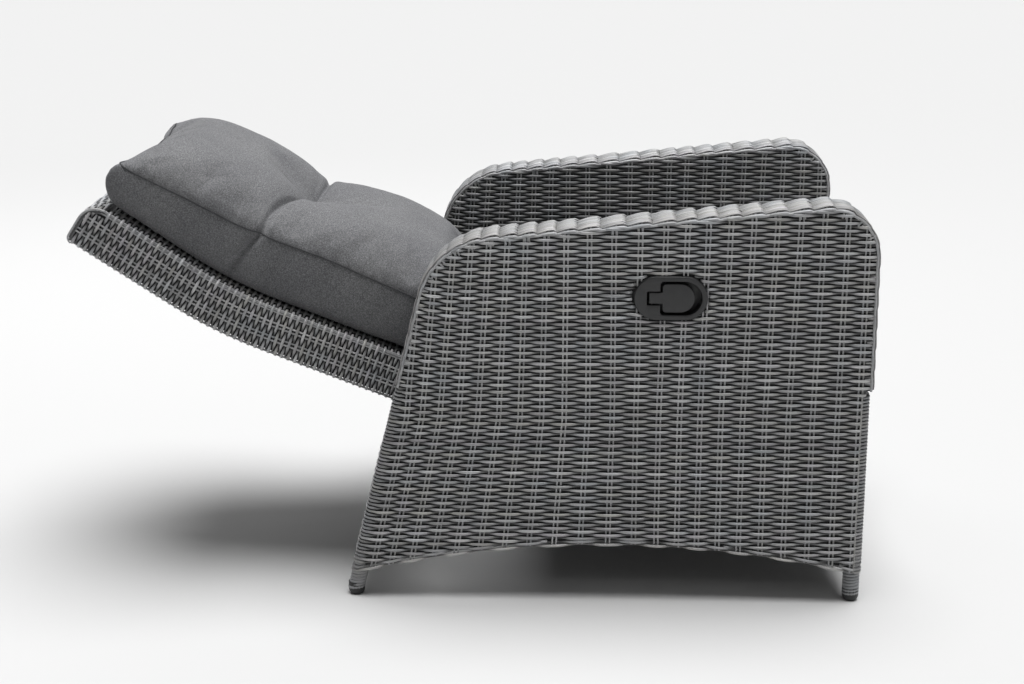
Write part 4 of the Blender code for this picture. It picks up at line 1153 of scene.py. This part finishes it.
def box_grid(nx, ny, nz):
    """Surface of a unit box as a quad grid; returns points in 0..1 and faces."""
    index, pts, faces = {}, [], []

    def vid(i, j, k):
        if (i, j, k) not in index:
            index[(i, j, k)] = len(pts)
            pts.append((i / nx, j / ny, k / nz))
        return index[(i, j, k)]
    for i in range(nx):
        for j in range(ny):
            faces.append((vid(i, j, 0), vid(i, j + 1, 0), vid(i + 1, j + 1, 0), vid(i + 1, j, 0)))
            faces.append((vid(i, j, nz), vid(i + 1, j, nz), vid(i + 1, j + 1, nz), vid(i, j + 1, nz)))
    for i in range(nx):
        for k in range(nz):
            faces.append((vid(i, 0, k), vid(i + 1, 0, k), vid(i + 1, 0, k + 1), vid(i, 0, k + 1)))
            faces.append((vid(i, ny, k), vid(i, ny, k + 1), vid(i + 1, ny, k + 1), vid(i + 1, ny, k)))
    for j in range(ny):
        for k in range(nz):
            faces.append((vid(0, j, k), vid(0, j, k + 1), vid(0, j + 1, k + 1), vid(0, j + 1, k)))
            faces.append((vid(nx, j, k), vid(nx, j + 1, k), vid(nx, j + 1, k + 1), vid(nx, j, k + 1)))
    return np.array(pts), faces


def apply_all(ob):
    dg = bpy.context.evaluated_depsgraph_get()
    me = bpy.data.meshes.new_from_object(ob.evaluated_get(dg))
    ob.modifiers.clear()
    ob.data = me


def inflate(ob, voxel, pin_fn, cap_fn, pressure=4.0, frames=20):
    """Voxel remesh, cloth pressure with pinned seams, capped movement, applied."""
    md = ob.modifiers.new("remesh", "REMESH")
    md.mode, md.voxel_size = "VOXEL", voxel
    apply_all(ob)
    me = ob.data
    co = np.empty(len(me.vertices) * 3)
    me.vertices.foreach_get("co", co)
    rest = co.reshape(-1, 3).copy()
    vg = ob.vertex_groups.new(name="pin")
    w = pin_fn(rest)
    for lvl in (0.25, 0.5, 0.75, 1.0):
        idx = np.where((w > lvl - 0.25) & (w <= lvl) & (w > 0.01))[0]
        if len(idx):
            vg.add([int(i) for i in idx], float(lvl), "REPLACE")
    cl = ob.modifiers.new("cloth", "CLOTH")
    st = cl.settings
    st.quality = 5
    st.mass = 0.3
    st.tension_stiffness = 12
    st.compression_stiffness = 12
    st.shear_stiffness = 5
    st.bending_stiffness = 0.4
    st.use_pressure = True
    st.uniform_pressure_force = pressure
    st.vertex_group_mass = "pin"
    st.effector_weights.gravity = 0
    st.shrink_min = -0.02
    cl.collision_settings.use_collision = False
    cl.point_cache.frame_start, cl.point_cache.frame_end = 1, frames
    sc = bpy.context.scene
    for f in range(1, frames + 1):
        sc.frame_set(f)
    dg = bpy.context.evaluated_depsgraph_get()
    ev = ob.evaluated_get(dg)
    em = ev.to_mesh()
    out = np.empty(len(em.vertices) * 3)
    em.vertices.foreach_get("co", out)
    out = out.reshape(-1, 3).copy()
    ev.to_mesh_clear()
    ob.modifiers.clear()
    sc.frame_set(1)
    d = out - rest
    ln = np.linalg.norm(d, axis=1)
    cap = cap_fn(rest)
    d *= (np.minimum(ln, cap) / np.maximum(ln, 1e-9))[:, None]
    new = rest + d
    me.vertices.foreach_set("co", new.ravel())
    me.update()
    return rest


def relax(ob, times=1, factor=0.5):
    bm = bmesh.new()
    bm.from_mesh(ob.data)
    for _ in range(times):
        bmesh.ops.smooth_vert(bm, verts=bm.verts, factor=factor, use_axis_x=True, use_axis_y=True, use_axis_z=True)
    bm.to_mesh(ob.data)
    bm.free()


def finish_soft(ob, mat, body, node_name):
    ob.data.materials.clear()
    ob.data.materials.append(mat)
    ob.data.shade_smooth()
    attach(ob, body)
    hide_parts(node_name)


TUFT_S = 0.338


def crease_s(x):
    """Where the sewn crease runs at width x: it bends up towards the sitter's right."""
    x = np.asarray(x, float)
    return TUFT_S + 0.068 * smooth(-x / 0.20) * (x < 0) - 0.006 * np.clip(x / 0.245, 0, 1)


SEAM_S = [0.02, 0.10, 0.28, 0.40, 0.56, 0.672]
SEAM_T = [0.128, 0.138, 0.146, 0.142, 0.128, 0.114]


def cushion_top(x, s):
    """Height of the back cushion's top over the middle of the back."""
    u = np.abs(x) / 0.245
    seam = np.interp(s, SEAM_S, SEAM_T)
    crown = np.interp(s, [0.02, 0.05, 0.10, 0.18, 0.26, 0.31, TUFT_S, 0.37, 0.42, 0.50, 0.58, 0.64, 0.672],
                      [0.128, 0.170, 0.194, 0.204, 0.204, 0.197, 0.191, 0.194, 0.200, 0.198, 0.185, 0.166, 0.120])
    fall = (1 - u ** 3.4) ** 0.58
    t = seam + (crown - seam) * np.where(u < 1, fall, 0)
    # the stitched pinch and the crease that runs out from it
    c0 = crease_s(x)
    crease = np.exp(-(np.abs(s - c0) / 0.017) ** 1.6)
    wide = np.exp(-((s - c0) / 0.050) ** 2)
    pinch = np.exp(-(x / 0.10) ** 2)
    t = t - (crease * (0.010 + 0.008 * pinch) + wide * 0.006) * np.clip(1.15 - u ** 5, 0, 1)
    r = np.hypot(x, (s - TUFT_S) * 1.1)
    t = t - 0.020 * np.exp(-(r / 0.028) ** 1.4)
    return t


def back_cushion():
    nx, ns, nt = 60, 78, 16
    q, faces = box_grid(nx, ns, nt)
    X = q[:, 0] * 2 - 1
    s = 0.024 + (0.668 - 0.024) * q[:, 1]
    T = q[:, 2]
    # sides pull in between the corners, corners reach out
    hw = 0.2385 - 0.0045 * np.sin(np.pi * q[:, 1]) ** 0.7
    x = X * hw
    reach = np.clip((q[:, 1] - 0.72) / 0.28, 0, 1) ** 1.5
    s = s + reach * (0.021 * np.abs(X) ** 3.5 - 0.012 * (1 - X * X)) * (0.45 + 0.55 * np.sin(np.pi * np.clip(T * 0.92 + 0.08, 0, 1)))
    top = cushion_top(x, s)
    bot = 0.0445 + 0.004 * (1 - np.minimum(1, 4 * np.minimum(q[:, 1], 1 - q[:, 1])))
    t = bot + (top - bot) * T
    # the sides bulge at mid height and tuck in towards the lower edge
    bulge = np.sin(np.pi * np.clip(T, 0, 1)) ** 0.8
    edge_w = np.clip((np.abs(X) - 0.75) / 0.25, 0, 1)
    x = x + np.sign(X) * edge_w * (0.006 * bulge * (np.abs(X) > 0.999) - 0.011 * (1 - T) ** 3)
    v = q[:, 1]
    s = s - np.clip((v - 0.9) / 0.1, 0, 1) * 0.012 * (1 - T) ** 3 + np.clip((0.1 - v) / 0.1, 0, 1) * 0.008 * (1 - T) ** 3
    # the corners of the lower edge are rounded off
    cr = np.clip((np.abs(X) - 0.86) / 0.14, 0, 1) * np.clip((np.abs(v - 0.5) * 2 - 0.90) / 0.10, 0, 1)
    x = x - np.sign(X) * 0.009 * cr * (1 - 0.5 * T)
    s = s - np.sign(v - 0.5) * 0.013 * cr * (1 - T) ** 1.5
    P = back_pt(x, s, t)
    ob = mesh_from("back_cushion_cover", P, faces)

    def st(co):
        """Back coordinates of 3D points, by a nearest search along the length."""
        ss = np.linspace(-0.03, 0.70, 740)
        p, n, d = back_frame(ss)
        y, z = co[:, 1] - SHIFT, co[:, 2]
        dy, dz = y[:, None] - p[None, :, 0], z[:, None] - p[None, :, 1]
        along = np.abs(dy * d[None, :, 0] + dz * d[None, :, 1])
        along += 10 * ((dy * n[None, :, 0] + dz * n[None, :, 1]) < -0.05)
        i = along.argmin(1)
        tt = (dy[np.arange(len(y)), i] * n[i, 0] + dz[np.arange(len(y)), i] * n[i, 1])
        return ss[i], tt

    def pin(co):
        s_, t_ = st(co)
        r = np.hypot(co[:, 0], s_ - TUFT_S)
        w = np.exp(-(r / 0.012) ** 2) * (t_ > 0.1)
        w = np.maximum(w, np.clip((0.052 - t_) / 0.006, 0, 1))
        seam = np.interp(s_, SEAM_S, SEAM_T)
        edge = np.abs(co[:, 0]) > 0.226
        w = np.maximum(w, 0.8 * np.exp(-((t_ - seam) / 0.006) ** 2) * edge)
        return w

    def cap(co):
        s_, t_ = st(co)
        r = np.hypot(co[:, 0], s_ - TUFT_S)
        c = 0.014 * (1 - np.exp(-(r / 0.05) ** 2)) + 0.001
        return np.where(t_ < 0.06, 0.002, c)
    inflate(ob, 0.0066, pin, cap)
    relax(ob, 2, 0.5)
    sub = ob.modifiers.new("sub", "SUBSURF")
    sub.levels = sub.render_levels = 1
    apply_all(ob)
    me = ob.data
    co = np.empty(len(me.vertices) * 3)
    me.vertices.foreach_get("co", co)
    co = co.reshape(-1, 3)
    s_, t_ = st(co)
    u = co[:, 0]
    # folds that radiate from the pinch, and small puckers along the seam
    r = np.hypot(u, s_ - TUFT_S)
    ang = np.arctan2(s_ - TUFT_S - (crease_s(u) - TUFT_S) * 0.5, u)
    fold = np.zeros(len(co))
    for a, k, amp, reach in ((0.20, 5.0, 0.0040, 0.16), (2.85, 5.5, 0.0042, 0.20), (-2.6, 5.0, 0.0034, 0.13), (-0.5, 5.0, 0.0034, 0.15),
                             (1.25, 6.0, 0.0026, 0.10), (-1.5, 6.0, 0.0024, 0.09), (2.1, 6.0, 0.0026, 0.11), (0.72, 6.0, 0.0022, 0.10)):
        da = np.angle(np.exp(1j * (ang - a)))
        wd = 0.10 + 0.35 * np.exp(-r / 0.05)
        fold -= amp * np.exp(-(da / wd) ** 2) * np.exp(-(r / reach) ** 2) * (1 - np.exp(-(r / 0.020) ** 2))
    up_w = np.clip((t_ - 0.10) / 0.04, 0, 1)
    # the sharp stitched fold: a narrow valley with a fuller lip on the seat side
    dc = s_ - crease_s(u)
    reach_c = 0.35 + 0.65 * np.exp(-(u / 0.11) ** 2) + 0.50 * np.exp(-((u + 0.20) / 0.07) ** 2)
    fold -= 0.0085 * reach_c * np.exp(-(dc / 0.0060) ** 2)
    fold += 0.0040 * reach_c * np.exp(-((dc + 0.015) / 0.009) ** 2)
    seam = np.interp(s_, SEAM_S, SEAM_T)
    near = np.exp(-(np.abs(t_ - seam) / 0.020)) * (np.abs(u) > 0.21)
    pucker = near * 0.0011 * np.sin(s_ * 2 * np.pi / 0.027 + 2.0 * np.sin(s_ * 31))
    p, n, d = back_frame(s_)
    nv = np.stack([np.zeros(len(co)), n[:, 0], n[:, 1]], 1)
    co = co + nv * (fold * up_w)[:, None]
    co[:, 0] += np.sign(u) * pucker
    # the crease carries on over the seam and down the side
    side_w = np.clip((np.abs(u) - 0.20) / 0.03, 0, 1)
    for ds, amp, wd in ((0.000, 0.0068, 0.011), (-0.070, 0.0026, 0.016), (0.085, 0.0024, 0.018), (-0.16, 0.0020, 0.020)):
        line = crease_s(u) + ds + 0.28 * (0.14 - t_)
        co[:, 0] -= np.sign(u) * side_w * amp * np.exp(-((s_ - line) / wd) ** 2) * np.clip((t_ - 0.043) / 0.03, 0, 1)
    line = crease_s(u) + 0.28 * (0.14 - t_)
    co[:, 0] -= np.sign(u) * side_w * 0.0045 * np.exp(-((s_ - line) / 0.0055) ** 2) * np.clip((t_ - 0.050) / 0.03, 0, 1)
    me.vertices.foreach_set("co", co.ravel())
    me.update()
    finish_soft(ob, FABRIC, "back", "back_cushion")
    return ob, st


def welt(name, P, N, body, r=0.0015, mat=None):
    """A sewn seam: a slim corded welt that follows the cover."""
    S = Strands(name, 8)
    S.add(P, N, r, r, (0.5, 0.2, 0.4), closed=True)
    ob = S.build(body, mat or PIPING)
    return ob


def on_surface(ob, pts, dirs, lift=0.0):
    """Drops points on to a mesh along given directions."""
    from mathutils.bvhtree import BVHTree
    me = ob.data
    co = np.empty(len(me.vertices) * 3)
    me.vertices.foreach_get("co", co)
    tree = BVHTree.FromPolygons([tuple(v) for v in co.reshape(-1, 3)], [tuple(p.vertices) for p in me.polygons])
    out, nrm = [], []
    for p, d in zip(pts, dirs):
        p, d = Vector(p), Vector(d).normalized()
        hit = tree.ray_cast(p + d * 0.08, -d, 0.16)
        if hit[0] is None:
            loc, n, _, _ = tree.find_nearest(p)
        else:
            loc, n = hit[0], hit[1]
        out.append(tuple(loc + n * lift))
        nrm.append(tuple(n))
    return np.array(out), np.array(nrm)


def smooth_loop(P, times=6):
    for _ in range(times):
        P = (np.roll(P, 1, 0) + 2 * P + np.roll(P, -1, 0)) / 4
    return P


cover, st_fn = back_cushion()
# side seam of the back cushion, all round
seam_s, seam_t = SEAM_S, SEAM_T
ring_pts, ring_dir = [], []
for s in np.linspace(0.040, 0.674, 110):
    ring_pts.append(back_pt(np.array(-0.235), np.array(s), np.array(np.interp(s, seam_s, seam_t))))
    ring_dir.append((-1, 0, 0))
_, _, d_end = back_frame(np.array(0.66))
for x in np.linspace(-0.220, 0.220, 70):
    ring_pts.append(back_pt(np.array(x), np.array(0.665), np.array(0.114)))
    ring_dir.append((0, d_end[0], d_end[1]))
for s in np.linspace(0.674, 0.040, 110):
    ring_pts.append(back_pt(np.array(0.235), np.array(s), np.array(np.interp(s, seam_s, seam_t))))
    ring_dir.append((1, 0, 0))
_, _, d_st = back_frame(np.array(0.03))
for x in np.linspace(0.220, -0.220, 70):
    ring_pts.append(back_pt(np.array(x), np.array(0.030), np.array(0.126)))
    ring_dir.append((0, -d_st[0], -d_st[1]))
P, N = on_surface(cover, ring_pts, ring_dir, 0.0009)
welt("back_cushion_seam", smooth_loop(P, 2), N, "back")


def seat_cushion():
    lo, hi = (np.array(v) + np.array([0, 0, DROP]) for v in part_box("seat_cushion"))
    q, faces = box_grid(56, 54, 12)
    c = (lo + hi) / 2
    size = hi - lo
    X, Y, T = q[:, 0] * 2 - 1, q[:, 1] * 2 - 1, q[:, 2]
    hx = size[0] / 2 - 0.010 - 0.006 * (1 - np.abs(Y) ** 4)
    hy = size[1] / 2 - 0.010 - 0.006 * (1 - np.abs(X) ** 4)
    zb = lo[2] + 0.002
    seam = lo[2] + 0.066
    crown = hi[2] - 0.006
    top = seam + (crown - seam) * (1 - np.abs(X) ** 5) ** 0.6 * (1 - np.abs(Y) ** 5) ** 0.6
    P = np.stack([c[0] + X * hx, c[1] + Y * hy, zb + (top - zb) * T], 1)
    ob = mesh_from("seat_cushion_cover", P, faces)

    def pin(co):
        w = np.clip((zb + 0.010 - co[:, 2]) / 0.008, 0, 1)
        edge = (np.abs(co[:, 0] - c[0]) > size[0] / 2 - 0.03) | (np.abs(co[:, 1] - c[1]) > size[1] / 2 - 0.03)
        return np.maximum(w, 0.8 * np.exp(-((co[:, 2] - seam) / 0.006) ** 2) * edge)

    def cap(co):
        return np.where(co[:, 2] < zb + 0.012, 0.001, 0.009)
    inflate(ob, 0.0060, pin, cap)
    relax(ob, 2, 0.5)
    sub = ob.modifiers.new("sub", "SUBSURF")
    sub.levels = sub.render_levels = 1
    apply_all(ob)
    me = ob.data
    co = np.empty(len(me.vertices) * 3)
    me.vertices.foreach_get("co", co)
    co = co.reshape(-1, 3)
    edge = np.maximum(np.abs(co[:, 0] - c[0]) / (size[0] / 2), np.abs(co[:, 1] - c[1]) / (size[1] / 2))
    w = np.clip((edge - 0.86) / 0.1, 0, 1) * np.exp(-np.abs(co[:, 2] - seam) / 0.022)
    along = np.where(np.abs(co[:, 0] - c[0]) / size[0] > np.abs(co[:, 1] - c[1]) / size[1], co[:, 1], co[:, 0])
    co[:, 2] += w * 0.0012 * np.sin(along * 2 * np.pi / 0.030 + 2 * np.sin(along * 27))
    me.vertices.foreach_set("co", co.ravel())
    me.update()
    finish_soft(ob, FABRIC, "base", "seat_cushion")
    pts, dirs = [], []
    hx0, hy0 = size[0] / 2 - 0.02, size[1] / 2 - 0.02
    for a in np.linspace(0, 2 * np.pi, 220, endpoint=False):
        ca, sa = math.cos(a), math.sin(a)
        k = (abs(ca) ** 14 + abs(sa) ** 14) ** (-1 / 14)
        pts.append((c[0] + ca * k * hx0, c[1] + sa * k * hy0, seam))
        dirs.append((ca, sa, 0))
    P, N = on_surface(ob, pts, dirs, 0.0006)
    welt("seat_cushion_seam", smooth_loop(P, 3), N, "base")


seat_cushion()


# ------------------------------------------------------ the handle's bezel
def stadium(r, half, n=28):
    pts = []
    for k in range(n + 1):
        a = -math.pi / 2 + math.pi * k / n
        pts.append((half + r * math.cos(a), r * math.sin(a)))
    for k in range(n + 1):
        a = math.pi / 2 + math.pi * k / n
        pts.append((-half + r * math.cos(a), r * math.sin(a)))
    return pts


def keyhole(grow, tab_end, tab_half, left, right_, half, r=0.006):
    pts = []

    def arc(cu, cw, rad, a0, a1, n):
        for k in range(n + 1):
            a = math.radians(a0 + (a1 - a0) * k / n)
            pts.append((cu + rad * math.cos(a), cw + rad * math.sin(a)))
    q = 0.0022
    arc(tab_end - grow + q, -tab_half - grow + q, q, 180, 270, 5)
    pts.append((left - grow, -tab_half - grow))
    arc(left - grow + r, -half - grow + r, r, 180, 270, 8)
    rr = half + grow
    arc(right_ + grow - rr, 0, rr, -90, 90, 30)
    arc(left - grow + r, half + grow - r, r, 90, 180, 8)
    pts.append((left - grow, tab_half + grow))
    arc(tab_end - grow + q, tab_half + grow - q, q, 90, 180, 5)
    return pts


def prism(name, outline, x0, x1, mat):
    bm = bmesh.new()
    a = [bm.verts.new((x0, -0.1548 - u + SHIFT, 0.531 + w)) for u, w in outline]
    b = [bm.verts.new((x1, -0.1548 - u + SHIFT, 0.531 + w)) for u, w in outline]
    bm.faces.new(a)
    bm.faces.new(b[::-1])
    n = len(outline)
    for i in range(n):
        bm.faces.new((a[i], b[i], b[(i + 1) % n], a[(i + 1) % n]))
    bmesh.ops.recalc_face_normals(bm, faces=bm.faces)
    me = bpy.data.meshes.new(name)
    bm.to_mesh(me)
    bm.free()
    ob = bpy.data.objects.new(name, me)
    bpy.context.scene.collection.objects.link(ob)
    me.materials.append(mat)
    return ob


def bezel():
    """Moulded bezel: crowned rim with a keyhole recess, open behind for the paddle."""
    ob = prism("handle_bezel_shell", stadium(0.0361, 0.0228), -0.3535, -0.3455, BLACK)
    rim = ob.modifiers.new("rim", "BEVEL")
    rim.width, rim.segments, rim.limit_method, rim.angle_limit = 0.0026, 4, "ANGLE", math.radians(60)
    hole = prism("cutter_a", keyhole(0, -0.0385, 0.0114, -0.0172, 0.0500, 0.0278), -0.36, -0.34, BLACK)
    md = ob.modifiers.new("cut", "BOOLEAN")
    md.operation, md.solver, md.object = "DIFFERENCE", "EXACT", hole
    lip = ob.modifiers.new("lip", "BEVEL")
    lip.width, lip.segments, lip.limit_method, lip.angle_limit = 0.0008, 2, "ANGLE", math.radians(60)
    apply_all(ob)
    bpy.data.objects.remove(hole, do_unlink=True)
    # the dished pocket behind the opening
    cup = prism("handle_bezel_cup", stadium(0.0320, 0.0200), -0.3460, -0.3180, BLACK)
    inner = prism("cutter_b", stadium(0.0300, 0.0200), -0.3500, -0.3200, BLACK)
    md = cup.modifiers.new("cut", "BOOLEAN")
    md.operation, md.solver, md.object = "DIFFERENCE", "EXACT", inner
    apply_all(cup)
    bpy.data.objects.remove(inner, do_unlink=True)
    for o in (ob, cup):
        o.data.shade_smooth()
        o.data.set_sharp_from_angle(angle=math.radians(35))
        o.data.materials.clear()
        o.data.materials.append(BLACK)
        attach(o, "base")
    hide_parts("handle_bezel")
    # the paddle: chamfered plate, with the front end lipped for the fingers
    pd = prism("handle_paddle_plate", keyhole(0, -0.0352, 0.0095, -0.0137, 0.0385, 0.0238), -0.3515, -0.3452, BLACK)
    bv = pd.modifiers.new("edge", "BEVEL")
    bv.width, bv.segments, bv.limit_method, bv.angle_limit = 0.0018, 4, "ANGLE", math.radians(50)
    apply_all(pd)
    pd.data.shade_smooth()
    pd.data.set_sharp_from_angle(angle=math.radians(35))
    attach(pd, "handle")
    return ob


bezel()

# ----------------------------------------------- materials on the CAD nodes
PAINT = {"painted_steel": COAT, "zinc_steel": ZINC, "black_plastic": BLACK, "chromed_steel": CHROME,
         "cable_sheath": SHEATH, "woven_resin": SHADE_BACKING, "heathered_fabric": FABRIC}
slot_of = {s["node"]: s["material_slot"] for s in frame["record"]["subparts"]}
for name, ob in frame["nodes"].items():
    mt = PAINT[slot_of[name]]
    if name.endswith("foot_cap"):
        mt = CAPS
    ob.data.materials.clear()
    ob.data.materials.append(mt)

# ------------------------------------------------------- floor and lights
bm = bmesh.new()
bmesh.ops.create_grid(bm, x_segments=1, y_segments=1, size=80)
me = bpy.data.meshes.new("floor")
bm.to_mesh(me)
bm.free()
floor = bpy.data.objects.new("floor", me)
bpy.context.scene.collection.objects.link(floor)
mt, nt, b = new_mat("floor_paper")
b.inputs["Base Color"].default_value = (0.60, 0.60, 0.60, 1)
b.inputs["Roughness"].default_value = 0.9
b.inputs["Specular IOR Level"].default_value = 0.1
me.materials.append(mt)

world = bpy.data.worlds.new("studio")
bpy.context.scene.world = world
world.use_nodes = True
bg = world.node_tree.nodes["Background"]
bg.inputs["Strength"].default_value = 1.0
wt = world.node_tree
w_tc = wt.nodes.new("ShaderNodeTexCoord")
w_sep = wt.nodes.new("ShaderNodeSeparateXYZ")
wt.links.new(w_tc.outputs["Generated"], w_sep.inputs[0])
wt.links.new(ramp(wt, w_sep.outputs[2], [(0.0, (0.80,) * 3), (0.03, (0.74,) * 3), (0.22, (0.22,) * 3), (0.45, (0.12,) * 3)]), bg.inputs["Color"])


def area(name, loc, target, size, energy, color=(1, 1, 1)):
    ld = bpy.data.lights.new(name, "AREA")
    ld.shape = "RECTANGLE"
    ld.size, ld.size_y = size
    ld.energy = energy
    ld.color = color
    ob = bpy.data.objects.new(name, ld)
    ob.location = loc
    ob.rotation_euler = (Vector(target) - Vector(loc)).to_track_quat("-Z", "Y").to_euler()
    bpy.context.scene.collection.objects.link(ob)
    return ob


sun_data = bpy.data.lights.new("overhead", "SUN")
sun_data.energy = 4.3
sun_data.angle = math.radians(48)
sun = bpy.data.objects.new("overhead", sun_data)
sun.rotation_euler = Vector((-0.05, 0.10, -1.0)).to_track_quat("-Z", "Y").to_euler()
bpy.context.scene.collection.objects.link(sun)
area("softbox", (-2.6, -1.6, 2.6), (0, 0, 0.4), (1.6, 1.6), 5)
area("back_light", (2.2, 1.0, 2.4), (0, 0.2, 0.5), (2.0, 2.0), 14)

# everything above was laid out from the profile's datum; set it on the floor
cad = set(frame["nodes"].values())
for ob in bpy.data.objects:
    if ob.type == "MESH" and ob not in cad and ob is not floor:
        ob.data.transform(Matrix.Translation((0, 0, -DROP)))

sc = bpy.context.scene
sc.view_settings.view_transform = "Standard"
sc.view_settings.look = "None"
